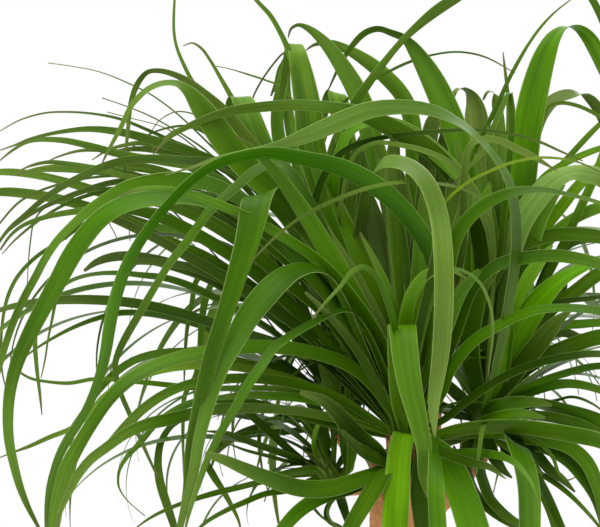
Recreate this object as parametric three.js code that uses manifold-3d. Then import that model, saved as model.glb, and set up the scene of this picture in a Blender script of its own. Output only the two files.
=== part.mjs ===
// Potted ponytail palm with five leaf heads, in a plain clay pot.
// Millimetres, +Z up. The origin is the middle of the pot's flat base.
import * as THREE from 'three';
import { mergeVertices } from 'three/addons/utils/BufferGeometryUtils.js';
import Module from 'manifold-3d';

const wasm = await Module();
wasm.setup();

// Driving dimensions

const seat = 0.3; // clearance between pieces that touch
const goldenAngle = 2.399963;
const partBy = 0.02; // how far touching folds of one skin are moved apart
const partRounds = 6;

const pot = {
  height: 175,
  baseRadius: 74,
  rimRadius: 103,
  bodyTopRadius: 94,
  wall: 7,
  floor: 9,
  rimHeight: 27,
  rimRound: 3,
  footChamfer: 2.5,
  sides: 40,
  drainCount: 3,
  drainRadius: 6,
  drainRing: 36,
};

const soil = {
  top: 152,
  mound: 5,
  moundShare: 0.86,
  sides: 32,
};

const trunk = {
  // radius at each height, from the buried foot of the swollen base to the fork
  profile: [
    [118.5, 0], [118.5, 34], [126, 48], [138, 55], [152, 58], [168, 58.5],
    [184, 55], [202, 48], [222, 39.5], [244, 32], [268, 27], [300, 24],
    [340, 22], [385, 20.8], [430, 20.5], [458, 21], [474, 17], [482, 0],
  ],
  sides: 20,
  lump: 1.6, // unevenness of the corky base
  lumpStart: [157, 180], // heights between which it grows out of the soil
  lumpEnd: [260, 330], // heights between which it dies away up the stem
  branchSides: 10,
  branchRadius: 10.5,
  branchTaper: [1.1, 1.05, 0.98, 1, 0.95],
  branchOffset: 0.08, // start of a branch, as a share of the way out to its head
  branchBend: 0.55,
  budSeat: 20, // a branch ends this far below the middle of its leaf head
  scales: 5, // dry sheath remains round each branch
  scaleLength: 20,
  scaleWidth: 12,
  scaleLean: 5,
  scaleThickness: 1.5,
  scaleSink: 2,
  scaleSteps: [0.8, 0.3, 3], // set back of the first scale, step and number of steps
};

const head = {
  below: 20, // the head's packed leaf bases, below and above its middle
  above: 34,
  radius: 13.5,
  sides: 8,
  foot: [0.8, 0.4], // radius share at the foot, height share where it is full
  shoulder: [0.78, 0.45],
  neck: [0.45, 0.8],
};

const blade = {
  keel: 0.1, // thickness over width
  minKeel: 0.7,
  maxKeel: 1.7,
  minWidth: 1.6,
  samples: 44,
  tolerance: 2.4, // how far a facet may leave the true curve
  baseShare: 0.35, // width at the root over full width
  baseGrowth: 3,
  tipShare: 0.55, // the part of the length that narrows to the tip
  tipPower: 0.85,
  tightest: 0.8, // half width over the radius of a sideways bend
  hiddenSpan: 25, // pixels: a longer first span is hidden and starts narrow
};

// How the photograph was taken: the crown's middle plane is seen at viewDistance, where one
// pixel is pixelSize millimetres. Depth is the distance of a point in front of that plane.

const view = {
  distance: 2000,
  elevation: THREE.MathUtils.degToRad(5),
  aim: new THREE.Vector3(-70, 0, 636),
  centre: [300, 263.5],
  pixelSize: 0.7,
};

// Leaf heads: the pixel and the depth of the point that the leaves grow from, the size of the
// head, the height at which its branch leaves the trunk and how far the branch sags

const heads = {
  front: { at: [405, 440], depth: 35, size: 1, fork: 444, sag: 5 },
  left: { at: [334, 474], depth: 12, size: 0.6, fork: 468, sag: 1 },
  right: { at: [484, 420], depth: 5, size: 0.95, fork: 444, sag: 5 },
  back: { at: [425, 400], depth: -58, size: 0.95, fork: 448, sag: 5 },
  upper: { at: [347, 420], depth: -40, size: 0.85, fork: 462, sag: -13 },
};

// Leaves seen in the photograph, from the root side to the tip.
// head, width of the blade (mm), reach (mm towards the viewer at the tip), the face seen
// (1 upper, -1 underside), and stops of [pixel x, pixel y, width seen in pixels].

const tracedLeaves = {
  frontDrop: ['front', 17, 150, 1, [
    [392, 330, 14], [380, 240, 14], [378, 190, 18], [388, 169, 20], [408, 166, 14], [425, 180, 15],
    [437, 212, 18], [443, 255, 20], [444, 300, 20], [439, 350, 18], [430, 400, 15], [423, 440, 12],
    [422, 480, 8], [425, 515, 3]]],
  centreFold: ['front', 18, 120, 1, [
    [400, 390, 16], [399, 345, 22], [402, 325, 25], [408, 355, 24], [416, 400, 20], [424, 440, 14],
    [430, 500, 5]]],
  centreLowFold: ['front', 18, 175, 1, [
    [401, 436, 22], [400, 455, 24], [398, 490, 27], [396, 527, 27], [394, 570, 22], [393, 620, 11],
    [393, 650, 4]]],
  lowerCentreDrop: ['front', 14, 165, 1, [
    [432, 432, 8], [435, 460, 12], [437, 490, 16], [438, 527, 18], [440, 570, 16], [441, 610, 9],
    [441, 640, 3]]],
  rightDiagonalDrop: ['front', 19, 150, 1, [
    [428, 441, 14], [446, 458, 20], [455, 480, 22], [465, 505, 25], [474, 527, 27], [486, 560, 24],
    [497, 600, 13], [503, 640, 4]]],
  innerRightDrop: ['right', 10, 110, 1, [
    [467, 437, 8], [468, 460, 10], [478, 490, 12], [490, 510, 12], [515, 537, 11], [535, 570, 8],
    [548, 605, 3]]],
  rightDrop: ['front', 14, 140, 1, [
    [450, 434, 10], [500, 434, 12], [515, 441, 16], [524, 462, 18], [529, 485, 20], [532, 527, 20],
    [532, 570, 16], [530, 610, 9], [529, 640, 3]]],
  darkCentreDrop: ['front', 9, 90, 1, [
    [420, 446, 8], [421, 485, 12], [421, 527, 12], [421, 570, 9], [421, 610, 3]]],
  bigGreenArch: ['front', 15, 115, 1, [
    [440, 395, 14], [443, 330, 16], [435, 262, 18], [415, 225, 20], [395, 202, 20], [370, 182, 20],
    [340, 167, 19], [300, 158, 15], [270, 153, 12], [240, 157, 11], [215, 165, 10], [195, 178, 9],
    [175, 197, 9], [148, 230, 10], [127, 265, 11], [113, 315, 12], [109, 345, 11], [105, 370, 10],
    [95, 400, 8], [75, 440, 5], [60, 470, 2]]],
  upperGreenArch: ['right', 15, 25, 1, [
    [486, 350, 16], [484, 290, 16], [479, 240, 16], [473, 212, 17], [462, 190, 17], [445, 165, 19],
    [425, 147, 20], [400, 132, 20], [380, 122, 18], [360, 113, 16], [340, 109, 13], [320, 106, 11],
    [290, 105, 11], [260, 107, 11], [230, 111, 9], [205, 119, 8], [185, 128, 6], [165, 141, 3],
    [152, 156, 1]]],
  paleRightArch: ['right', 15, 70, 1, [
    [487, 400, 6], [495, 372, 7], [505, 330, 9], [513, 280, 10], [516, 240, 10], [514, 205, 9],
    [507, 180, 8], [495, 158, 7], [480, 140, 7], [462, 124, 8], [450, 117, 9], [430, 110, 12],
    [400, 107, 14], [370, 111, 17], [345, 120, 19], [320, 130, 18], [300, 138, 15], [283, 144, 10],
    [262, 149, 6], [240, 153, 5], [215, 159, 4], [190, 168, 3], [165, 175, 1]]],
  leftFold: ['front', 18, 95, 1, [
    [350, 300, 22], [310, 228, 26], [285, 197, 26], [264, 192, 25], [248, 199, 23], [243, 222, 20],
    [240, 245, 18], [235, 270, 17], [227, 300, 14], [218, 330, 13], [212, 360, 11], [207, 390, 10],
    [203, 420, 8], [196, 450, 7], [190, 480, 5], [183, 530, 2]]],
  leftFoldInner: ['front', 18, 125, 1, [
    [360, 330, 12], [325, 278, 8], [305, 268, 14], [289, 270, 20], [275, 280, 25], [262, 292, 24],
    [250, 312, 22], [240, 332, 20], [230, 352, 18], [221, 374, 14], [212, 397, 12], [205, 422, 10],
    [195, 457, 7], [188, 492, 5], [183, 527, 2]]],
  leftLowSweep: ['front', 9, 130, 1, [
    [385, 370, 5], [352, 312, 4], [335, 312, 5], [315, 322, 7], [295, 333, 8], [275, 347, 9],
    [262, 365, 10], [248, 385, 10], [235, 408, 9], [222, 430, 8], [208, 458, 7], [198, 485, 6],
    [190, 510, 4], [185, 530, 2]]],
  wideLeft: ['front', 13, 40, 1, [
    [330, 300, 12], [240, 213, 13], [195, 197, 14], [160, 200, 14], [130, 203, 12], [110, 210, 12],
    [93, 228, 11], [73, 257, 10], [50, 290, 9], [30, 320, 8], [15, 355, 7], [9, 395, 6],
    [8, 430, 5], [12, 465, 4], [20, 500, 2]]],
  wideLeftUpper: ['front', 12, 15, 1, [
    [300, 258, 12], [225, 190, 12], [180, 178, 15], [150, 182, 17], [125, 190, 18], [105, 200, 15],
    [85, 213, 11], [70, 229, 9], [57, 247, 8], [40, 275, 7], [25, 300, 6], [12, 330, 4],
    [5, 360, 3], [2, 385, 1]]],
  darkBold: ['front', 10, -30, 1, [
    [330, 260, 11], [250, 175, 10], [220, 163, 9], [190, 161, 9], [160, 159, 9], [130, 160, 9],
    [105, 166, 8], [85, 175, 8], [65, 185, 7], [45, 198, 6], [25, 215, 5], [10, 228, 4],
    [-2, 244, 3], [-12, 268, 1]]],
  lowArchLong: ['front', 11, 140, 1, [
    [365, 426, 8], [330, 417, 9], [300, 411, 9], [250, 408, 10], [210, 410, 11], [170, 419, 13],
    [130, 435, 12], [100, 451, 10], [80, 466, 8], [70, 485, 5], [62, 505, 2]]],
  lowArchUpper: ['front', 9, 105, 1, [
    [372, 419, 9], [335, 397, 10], [300, 385, 10], [260, 379, 10], [225, 379, 10], [190, 384, 9],
    [160, 396, 9], [135, 414, 8], [112, 436, 7], [90, 455, 5], [75, 470, 2]]],
  midLeftArch: ['front', 12, 85, 1, [
    [380, 395, 12], [350, 366, 13], [300, 348, 14], [250, 343, 14], [208, 348, 14], [170, 355, 13],
    [140, 368, 12], [118, 388, 11], [100, 410, 10], [85, 433, 9], [70, 460, 7], [60, 485, 5],
    [53, 515, 3], [48, 545, 1]]],
  midLeftShort: ['upper', 8, 30, 1, [
    [290, 372, 8], [240, 364, 8], [205, 364, 7], [180, 365, 6], [160, 370, 5], [140, 378, 4],
    [122, 390, 1]]],
  darkLeftLong: ['front', 10, -25, 1, [
    [340, 372, 10], [290, 348, 10], [250, 335, 10], [215, 324, 10], [180, 313, 10], [140, 304, 10],
    [100, 300, 10], [60, 300, 9], [25, 304, 7], [0, 310, 5], [-20, 320, 2]]],
  leftSlim: ['upper', 7, -10, 1, [
    [290, 368, 8], [215, 331, 7], [185, 321, 7], [150, 314, 6], [120, 313, 6], [95, 319, 5],
    [70, 329, 4], [48, 341, 3], [30, 353, 2], [20, 362, 1]]],
  leftBlunt: ['front', 10, -10, -1, [
    [330, 345, 11], [220, 281, 11], [205, 273, 10], [180, 264, 10], [150, 257, 10], [125, 253, 10],
    [108, 255, 9], [95, 260, 7], [84, 268, 3]]],
  oliveTip: ['front', 8, 10, 1, [
    [300, 370, 8], [200, 348, 8], [130, 349, 8], [106, 364, 7], [92, 390, 7], [80, 412, 6],
    [68, 428, 6], [50, 437, 4], [30, 446, 3], [14, 452, 2], [-4, 459, 1]]],
  leftDroop: ['upper', 8, 50, 1, [
    [270, 372, 8], [190, 352, 8], [135, 360, 8], [98, 390, 8], [86, 410, 8], [72, 431, 8],
    [60, 452, 7], [52, 475, 6], [48, 500, 5], [50, 530, 2]]],
  lowKinked: ['front', 8, 40, 1, [
    [330, 424, 8], [250, 402, 8], [200, 401, 8], [175, 410, 7], [155, 425, 6], [140, 443, 6],
    [126, 458, 5], [119, 472, 3], [119, 487, 2], [127, 500, 1], [145, 516, 1]]],
  lowHook: ['upper', 8, 20, -1, [
    [270, 420, 6], [205, 412, 6], [174, 424, 6], [162, 440, 7], [158, 460, 8], [160, 482, 9],
    [167, 505, 9], [175, 530, 7], [182, 560, 3]]],
  longDiagonal: ['front', 11, 45, 1, [
    [345, 280, 12], [302, 190, 12], [280, 163, 11], [258, 169, 11], [235, 188, 10], [210, 211, 9],
    [186, 243, 9], [170, 263, 8], [155, 287, 7], [140, 311, 6], [125, 336, 6], [117, 351, 6],
    [114, 366, 5], [119, 388, 5], [130, 415, 4], [143, 445, 3], [158, 478, 1]]],
  upLeftBand: ['front', 9, -60, 1, [
    [300, 240, 9], [240, 175, 9], [200, 155, 9], [170, 145, 9], [145, 138, 9], [120, 132, 8],
    [90, 129, 6], [60, 132, 4], [30, 139, 3], [15, 145, 2], [-5, 152, 1]]],
  upLeftBandLower: ['upper', 9, -35, 1, [
    [260, 215, 9], [200, 170, 9], [160, 161, 8], [130, 156, 8], [112, 152, 8], [90, 146, 7],
    [60, 140, 6], [30, 141, 4], [13, 150, 3], [-3, 163, 1]]],
  leftPlainA: ['upper', 8, -80, 1, [
    [250, 235, 8], [160, 201, 8], [100, 190, 7], [80, 184, 7], [55, 178, 6], [30, 174, 5],
    [0, 173, 4], [-35, 180, 2]]],
  leftPlainD: ['upper', 9, -70, 1, [
    [250, 262, 9], [150, 226, 8], [85, 206, 8], [58, 199, 7], [30, 195, 6], [0, 193, 5],
    [-42, 199, 2]]],
  tallArchLeft: ['front', 14, -40, -1, [
    [385, 340, 16], [345, 264, 16], [300, 203, 16], [265, 162, 15], [240, 131, 15], [215, 104, 14],
    [195, 87, 13], [175, 76, 11], [155, 71, 8], [142, 75, 7], [133, 87, 6], [128, 105, 6],
    [126, 140, 5], [125, 174, 3]]],
  tallArchLeftInner: ['front', 14, -15, -1, [
    [378, 340, 17], [330, 258, 17], [280, 197, 17], [250, 170, 16], [225, 149, 15], [210, 127, 14],
    [199, 107, 13], [188, 93, 11], [176, 85, 10], [163, 84, 7], [150, 90, 5], [137, 100, 6],
    [125, 118, 6], [113, 142, 4], [104, 162, 2]]],
  paleTopFold: ['front', 15, -80, -1, [
    [380, 340, 15], [330, 250, 16], [290, 190, 17], [270, 152, 17], [259, 122, 18], [250, 101, 20],
    [241, 94, 20], [234, 105, 14], [236, 130, 10], [240, 165, 4]]],
  topSlimC: ['front', 8, -80, -1, [
    [350, 270, 10], [320, 185, 10], [305, 131, 9], [298, 92, 8], [293, 66, 7], [287, 47, 6],
    [280, 32, 5], [270, 15, 5], [258, 2, 4], [248, -10, 4], [232, -27, 2]]],
  topFold: ['front', 19, -105, -1, [
    [388, 340, 22], [355, 255, 25], [322, 190, 27], [309, 150, 27], [304, 110, 25], [300, 78, 19],
    [297, 53, 15], [296, 44, 13], [291, 48, 10], [285, 72, 8], [280, 102, 4]]],
  topFoldSlim: ['upper', 10, -115, -1, [
    [335, 280, 12], [303, 185, 13], [291, 130, 12], [286, 92, 10], [286, 66, 9], [286, 60, 8],
    [280, 72, 5], [271, 96, 2]]],
  topArchA: ['front', 15, -95, -1, [
    [402, 300, 20], [391, 205, 21], [376, 150, 20], [363, 101, 18], [346, 69, 15], [326, 43, 10],
    [309, 29, 6], [298, 25, 4], [291, 29, 3], [288, 38, 1]]],
  topArchB: ['back', 13, -60, -1, [
    [412, 290, 18], [414, 180, 18], [414, 130, 17], [407, 105, 16], [400, 90, 14], [387, 75, 12],
    [370, 60, 10], [350, 49, 8], [330, 42, 6], [314, 45, 3], [305, 51, 1]]],
  topArchC: ['right', 17, -85, -1, [
    [479, 350, 20], [475, 270, 23], [469, 195, 24], [461, 145, 24], [445, 100, 23], [430, 70, 18],
    [415, 47, 12], [404, 38, 8], [391, 33, 7], [378, 29, 7], [365, 33, 7], [352, 46, 6],
    [340, 65, 4], [327, 93, 1]]],
  topRightLean: ['left', 9, -50, -1, [
    [331, 330, 9], [327, 250, 10], [329, 198, 10], [337, 140, 11], [356, 98, 11], [386, 58, 10],
    [420, 25, 8], [460, -5, 6], [500, -24, 4], [545, -33, 1]]],
  topRightFold: ['back', 15, -70, 1, [
    [450, 300, 16], [475, 220, 18], [482, 150, 20], [479, 118, 20], [474, 99, 18], [467, 90, 12],
    [458, 90, 8], [451, 102, 4], [448, 122, 2]]],
  topRightFoldB: ['right', 10, -95, 1, [
    [493, 300, 13], [500, 200, 13], [500, 135, 12], [497, 106, 11], [494, 93, 8], [488, 92, 5],
    [483, 100, 2]]],
  topRightDark: ['right', 8, -45, 1, [
    [495, 320, 10], [504, 240, 10], [508, 185, 10], [510, 130, 9], [512, 93, 7], [513, 62, 5],
    [514, 28, 1]]],
  rightArchTall: ['right', 19, -20, -1, [
    [493, 370, 20], [505, 315, 25], [515, 250, 27], [522, 185, 27], [528, 130, 27], [536, 90, 24],
    [546, 55, 16], [556, 37, 9], [567, 28, 7], [578, 27, 9], [588, 34, 11], [597, 49, 11],
    [606, 70, 11], [617, 98, 10], [631, 137, 8], [645, 182, 5], [656, 220, 2]]],
  rightPaleArch: ['right', 13, -60, 1, [
    [502, 380, 14], [524, 262, 14], [538, 165, 14], [545, 127, 13], [551, 108, 12], [562, 98, 11],
    [576, 94, 11], [590, 99, 12], [601, 114, 12], [613, 147, 11], [625, 192, 8], [636, 242, 5],
    [644, 287, 2]]],
  rightDarkThin: ['front', 8, 60, 1, [
    [402, 330, 9], [396, 250, 9], [395, 190, 9], [403, 152, 9], [420, 137, 9], [440, 132, 8],
    [460, 130, 6], [480, 130, 5], [500, 133, 4], [540, 142, 3], [585, 162, 3], [610, 178, 1]]],
  rightLightStub: ['front', 8, 35, 1, [
    [428, 300, 9], [440, 205, 9], [456, 152, 8], [478, 139, 8], [495, 142, 7], [520, 148, 6],
    [540, 158, 5], [557, 171, 3], [577, 192, 1]]],
  rightBroadPale: ['right', 16, 40, 1, [
    [496, 330, 16], [510, 262, 19], [524, 218, 22], [543, 190, 22], [561, 177, 20], [580, 173, 20],
    [601, 179, 20], [626, 197, 18], [651, 227, 14], [670, 266, 8], [681, 303, 3]]],
  rightEdgeLight: ['front', 11, 90, 1, [
    [438, 335, 12], [448, 272, 13], [458, 234, 14], [475, 212, 14], [498, 197, 12], [520, 191, 9],
    [545, 190, 6], [570, 195, 4], [600, 203, 4], [630, 216, 3], [657, 238, 1]]],
  rightMidA: ['right', 12, 20, 1, [
    [482, 330, 11], [497, 272, 13], [520, 247, 14], [545, 237, 14], [570, 234, 14], [600, 237, 14],
    [635, 248, 12], [665, 271, 8], [686, 303, 3]]],
  rightMidB: ['front', 11, 70, 1, [
    [452, 345, 11], [474, 287, 12], [496, 266, 13], [530, 257, 13], [560, 256, 13], [600, 264, 12],
    [635, 277, 10], [662, 299, 6], [679, 328, 2]]],
  rightBright: ['right', 15, 55, 1, [
    [495, 388, 13], [511, 355, 14], [529, 321, 16], [545, 293, 19], [561, 273, 20], [580, 263, 18],
    [601, 260, 15], [631, 264, 12], [661, 282, 8], [681, 312, 3]]],
  rightLong: ['front', 11, 110, 1, [
    [440, 397, 10], [451, 369, 12], [470, 345, 12], [500, 328, 12], [530, 315, 12], [560, 308, 12],
    [600, 308, 11], [636, 318, 9], [666, 339, 6], [686, 367, 2]]],
  rightPointed: ['front', 7, 60, 1, [
    [455, 412, 8], [480, 396, 8], [502, 372, 8], [522, 344, 7], [545, 325, 5], [573, 308, 1]]],
  rightLowLong: ['front', 8, 125, 1, [
    [445, 419, 8], [462, 405, 8], [480, 392, 8], [500, 379, 8], [530, 366, 8], [560, 358, 8],
    [600, 354, 7], [640, 363, 6], [671, 382, 4], [691, 407, 1]]],
  rightLowB: ['right', 8, 60, 1, [
    [512, 396, 8], [535, 384, 8], [560, 375, 8], [600, 366, 7], [642, 372, 5], [674, 392, 2]]],
  rightLowWide: ['right', 13, 30, 1, [
    [508, 388, 10], [530, 369, 13], [553, 356, 15], [576, 347, 16], [601, 342, 17], [636, 342, 14],
    [667, 355, 9], [692, 381, 3]]],
  rightLevel: ['right', 14, 75, 1, [
    [505, 406, 9], [532, 403, 11], [561, 410, 14], [600, 423, 18], [631, 442, 14], [656, 470, 9],
    [672, 503, 3]]],
  rightFrontLevel: ['front', 13, 150, 1, [
    [432, 437, 11], [460, 430, 13], [490, 427, 14], [520, 427, 15], [550, 431, 16], [580, 436, 16],
    [601, 441, 16], [636, 459, 13], [661, 487, 8], [676, 518, 3]]],
  rightBackBright: ['right', 7, -70, -1, [
    [501, 295, 7], [525, 208, 7], [542, 179, 7], [560, 166, 7], [580, 156, 7], [601, 148, 6],
    [631, 139, 5], [661, 143, 2]]],
  rightBackWide: ['right', 10, -40, -1, [
    [511, 330, 11], [530, 262, 12], [546, 227, 12], [562, 206, 12], [580, 184, 11], [600, 166, 9],
    [631, 146, 6], [662, 136, 2]]],
  rightLowHook: ['right', 11, 95, 1, [
    [504, 436, 11], [526, 440, 12], [550, 446, 12], [570, 456, 12], [583, 473, 12], [593, 495, 11],
    [601, 514, 10], [605, 546, 7], [607, 576, 3]]],
  rightLowHang: ['right', 9, 60, 1, [
    [508, 444, 8], [529, 462, 9], [541, 484, 9], [549, 500, 9], [556, 516, 9], [563, 532, 8],
    [571, 562, 6], [576, 592, 2]]],
  rightStub: ['front', 7, 115, 1, [
    [450, 456, 9], [472, 463, 9], [489, 467, 7], [506, 479, 1]]],
  rightStubLong: ['front', 7, 130, 1, [
    [432, 448, 9], [449, 453, 9], [471, 453, 9], [500, 456, 8], [516, 464, 6], [530, 480, 3],
    [539, 502, 1]]],
  cornerLeaf: ['right', 8, -55, -1, [
    [500, 300, 9], [518, 170, 9], [541, 70, 8], [563, 17, 7], [583, -2, 6], [600, 11, 6],
    [613, 45, 4], [621, 82, 1]]],
  brightCentre: ['front', 14, 45, -1, [
    [402, 408, 14], [393, 385, 17], [381, 347, 19], [365, 311, 19], [346, 273, 19], [327, 240, 17],
    [307, 208, 15], [290, 182, 12], [278, 164, 8], [268, 152, 3]]],
  brightCentreSlim: ['front', 7, 55, -1, [
    [392, 410, 9], [376, 384, 9], [360, 355, 9], [341, 329, 8], [322, 308, 6], [305, 292, 3]]],
  shortUpRight: ['front', 10, 45, 1, [
    [404, 345, 14], [410, 300, 14], [424, 277, 13], [438, 270, 10], [452, 270, 6], [466, 278, 2]]],
  lowLeftFanA: ['left', 8, 20, 1, [
    [316, 470, 8], [299, 458, 8], [282, 443, 8], [262, 425, 8], [244, 410, 7], [225, 401, 5],
    [202, 399, 1]]],
  lowLeftFanB: ['left', 7, 35, 1, [
    [315, 466, 7], [290, 456, 7], [262, 446, 7], [240, 438, 7], [225, 433, 5], [203, 431, 1]]],
  lowLeftArch: ['upper', 8, -15, 1, [
    [310, 420, 8], [285, 417, 8], [262, 426, 8], [240, 434, 8], [225, 444, 7], [216, 454, 5],
    [210, 472, 1]]],
  lowLeftBroad: ['front', 13, 165, 1, [
    [388, 466, 15], [360, 481, 16], [330, 489, 17], [300, 488, 17], [270, 479, 14], [240, 467, 12],
    [212, 456, 8], [188, 451, 3]]],
  lowLeftPair: ['left', 7, 45, 1, [
    [318, 470, 8], [300, 471, 8], [280, 474, 5], [258, 480, 1]]],
  lowLeftHang: ['upper', 7, 20, 1, [
    [300, 430, 7], [240, 436, 7], [216, 446, 8], [207, 461, 8], [213, 475, 8], [222, 489, 6],
    [230, 503, 5], [238, 519, 3], [242, 535, 1]]],
  lowLeftDropA: ['front', 12, 130, 1, [
    [378, 475, 12], [350, 488, 14], [322, 497, 15], [303, 508, 15], [290, 520, 14], [277, 537, 12],
    [264, 563, 8], [255, 595, 2]]],
  lowLeftDropB: ['front', 13, 150, 1, [
    [386, 472, 14], [371, 490, 16], [358, 509, 16], [345, 531, 15], [332, 561, 11], [322, 600, 3]]],
  hangBehindA: ['upper', 7, 10, 1, [
    [300, 330, 7], [250, 283, 7], [215, 265, 7], [197, 280, 6], [192, 302, 5], [187, 330, 4],
    [185, 357, 3], [184, 388, 1]]],
  hangBehindB: ['upper', 8, 25, 1, [
    [300, 345, 8], [245, 288, 8], [216, 280, 8], [206, 298, 8], [202, 322, 7], [200, 350, 6],
    [196, 375, 6], [185, 395, 5], [183, 425, 4], [184, 485, 1]]],
};

// Leaves on the sides that the photograph doesn't show, placed by a rule: for each head a
// number of leaves, the compass sector they fan over, their rise at the root, length and width.

const hiddenLeaves = [
  { head: 'back', count: 15, from: -10, to: 190, rise: [35, 84], length: [300, 420], width: [12, 18] },
  { head: 'upper', count: 11, from: 40, to: 205, rise: [30, 84], length: [280, 400], width: [11, 17] },
  { head: 'right', count: 9, from: -35, to: 120, rise: [30, 82], length: [280, 380], width: [11, 17] },
  { head: 'left', count: 5, from: 100, to: 200, rise: [15, 75], length: [200, 300], width: [9, 14] },
];
const leafSeed = 7;

const arching = {
  scatter: 14, // degrees of compass that a leaf may stray
  riseStep: 0.618, // spreads the rises evenly through a row
  riseStart: 0.3,
  droop: [80, 45], // degrees from root to tip: least, and how much more
  droopPerRise: 0.85,
  bendPower: 1.35,
  lean: 0.5,
  twist: 1.2,
};

// Shared shapes

function toSolid(geometry) {
  const bare = geometry.clone();
  bare.deleteAttribute('normal');
  bare.deleteAttribute('uv');
  const merged = mergeVertices(bare, 1e-3);
  const mesh = new wasm.Mesh({
    numProp: 3,
    vertProperties: merged.attributes.position.array,
    triVerts: Uint32Array.from(merged.index.array),
  });
  return new wasm.Manifold(mesh);
}

function toGeometry(solid) {
  const { vertProperties, triVerts } = solid.getMesh();
  const geometry = new THREE.BufferGeometry();
  geometry.setAttribute('position', new THREE.BufferAttribute(vertProperties, 3));
  geometry.setIndex(new THREE.BufferAttribute(triVerts, 1));
  return geometry;
}

function fromTriangles(corners, triangles) {
  const positions = [];
  for (const corner of corners) positions.push(corner.x, corner.y, corner.z);
  const geometry = new THREE.BufferGeometry();
  geometry.setAttribute('position', new THREE.Float32BufferAttribute(positions, 3));
  geometry.setIndex(triangles);
  return geometry;
}

// A closed skin over rings of corners, all with the same number of corners
function skin(rings) {
  const size = rings[0].length;
  const corners = rings.flat();
  const triangles = [];
  for (let i = 0; i + 1 < rings.length; i += 1) {
    for (let j = 0; j < size; j += 1) {
      const a = i * size + j;
      const b = i * size + ((j + 1) % size);
      triangles.push(a, b, b + size, a, b + size, a + size);
    }
  }
  const last = (rings.length - 1) * size;
  for (let j = 1; j + 1 < size; j += 1) {
    triangles.push(0, j + 1, j);
    triangles.push(last, last + j, last + j + 1);
  }
  return outward(corners, triangles);
}

// Turns the triangles so that the closed skin faces out
function outward(corners, triangles) {
  let volume = 0;
  const across = new THREE.Vector3();
  for (let i = 0; i < triangles.length; i += 3) {
    across.crossVectors(corners[triangles[i + 1]], corners[triangles[i + 2]]);
    volume += corners[triangles[i]].dot(across);
  }
  if (volume < 0) triangles.reverse();
  return fromTriangles(corners, triangles);
}

// Lathed about Z: three.js turns its profile about Y
function turned(profile, sides) {
  const outline = profile.map(([radius, height]) => new THREE.Vector2(radius, height));
  const geometry = new THREE.LatheGeometry(outline, sides);
  geometry.rotateX(Math.PI / 2);
  return geometry;
}

// A round stem through points, thinning from one radius to the next
function stem(points, radii, sides) {
  const rings = [];
  const curve = new THREE.CatmullRomCurve3(points);
  const frames = curve.computeFrenetFrames(points.length - 1, false);
  points.forEach((point, i) => {
    const ring = [];
    for (let j = 0; j < sides; j += 1) {
      const angle = (j / sides) * 2 * Math.PI;
      const out = frames.normals[i].clone().multiplyScalar(Math.cos(angle));
      out.addScaledVector(frames.binormals[i], Math.sin(angle));
      ring.push(point.clone().addScaledVector(out, radii[i]));
    }
    rings.push(ring);
  });
  return skin(rings);
}

function joined(parts) {
  return wasm.Manifold.union(parts);
}

// Keeps the largest body: a scrap that a cut left loose is dropped and a sealed hollow is filled
function largest(solid) {
  const bodies = solid.decompose();
  return bodies.reduce((best, body) => (body.volume() > best.volume() ? body : best));
}

// Where two folds of a skin only just touch, moves each a little back into its own side
function parted(geometry) {
  geometry.computeVertexNormals();
  const position = geometry.attributes.position;
  const normal = geometry.attributes.normal;
  const corner = (i) => new THREE.Vector3().fromBufferAttribute(position, i);
  const twins = new Map();
  for (let i = 0; i < position.count; i += 1) {
    const key = corner(i).toArray().join();
    twins.set(key, [...(twins.get(key) || []), i]);
  }
  const touching = new Set([...twins.values()].filter((group) => group.length > 1).flat());
  const pulls = new Map([...touching].map((i) => [i, new THREE.Vector3()]));
  const index = geometry.index.array;
  for (let i = 0; i < index.length; i += 3) {
    for (let j = 0; j < 3; j += 1) {
      const at = index[i + j];
      if (!touching.has(at)) continue;
      pulls.get(at).add(corner(index[i + ((j + 1) % 3)])).sub(corner(at));
      pulls.get(at).add(corner(index[i + ((j + 2) % 3)])).sub(corner(at));
    }
  }
  for (const [i, pull] of pulls) {
    const out = new THREE.Vector3().fromBufferAttribute(normal, i);
    const way = pull.dot(out) < 0 ? -1 : 1;
    const moved = corner(i).addScaledVector(out, way * partBy);
    position.setXYZ(i, moved.x, moved.y, moved.z);
  }
  geometry.deleteAttribute('normal');
  return touching.size;
}

// One clean body: scraps dropped, sealed hollows filled, touching folds parted
function tidied(solid) {
  let body = largest(toSolid(toGeometry(largest(solid))));
  for (let round = 0; round < partRounds; round += 1) {
    const geometry = toGeometry(body);
    if (parted(geometry) === 0) return body;
    body = largest(toSolid(geometry));
  }
  return body;
}

// From the photograph's pixels to the part's frame

const sight = new THREE.Vector3(0, Math.cos(view.elevation), -Math.sin(view.elevation));
const sightUp = new THREE.Vector3(0, Math.sin(view.elevation), Math.cos(view.elevation));
const eye = view.aim.clone().addScaledVector(sight, -view.distance);

function fromPhoto(x, y, depth) {
  const perPixel = view.pixelSize / view.distance;
  const ray = sight.clone();
  ray.x += (x - view.centre[0]) * perPixel;
  ray.addScaledVector(sightUp, (view.centre[1] - y) * perPixel);
  return eye.clone().addScaledVector(ray, (-depth - eye.y) / ray.y);
}

function headPoint(name) {
  return fromPhoto(...heads[name].at, heads[name].depth);
}

// Leaves

// A leaf holds its full width to the middle, then runs out to a long thin tip
function fullness(u) {
  const base = Math.min(1, blade.baseShare + u * blade.baseGrowth);
  const tip = Math.pow(Math.min(1, (1 - u) / blade.tipShare), blade.tipPower);
  return base * tip;
}

function easeOut(u) {
  return 0.5 * u + 0.5 * u * u * (3 - 2 * u);
}

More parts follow.
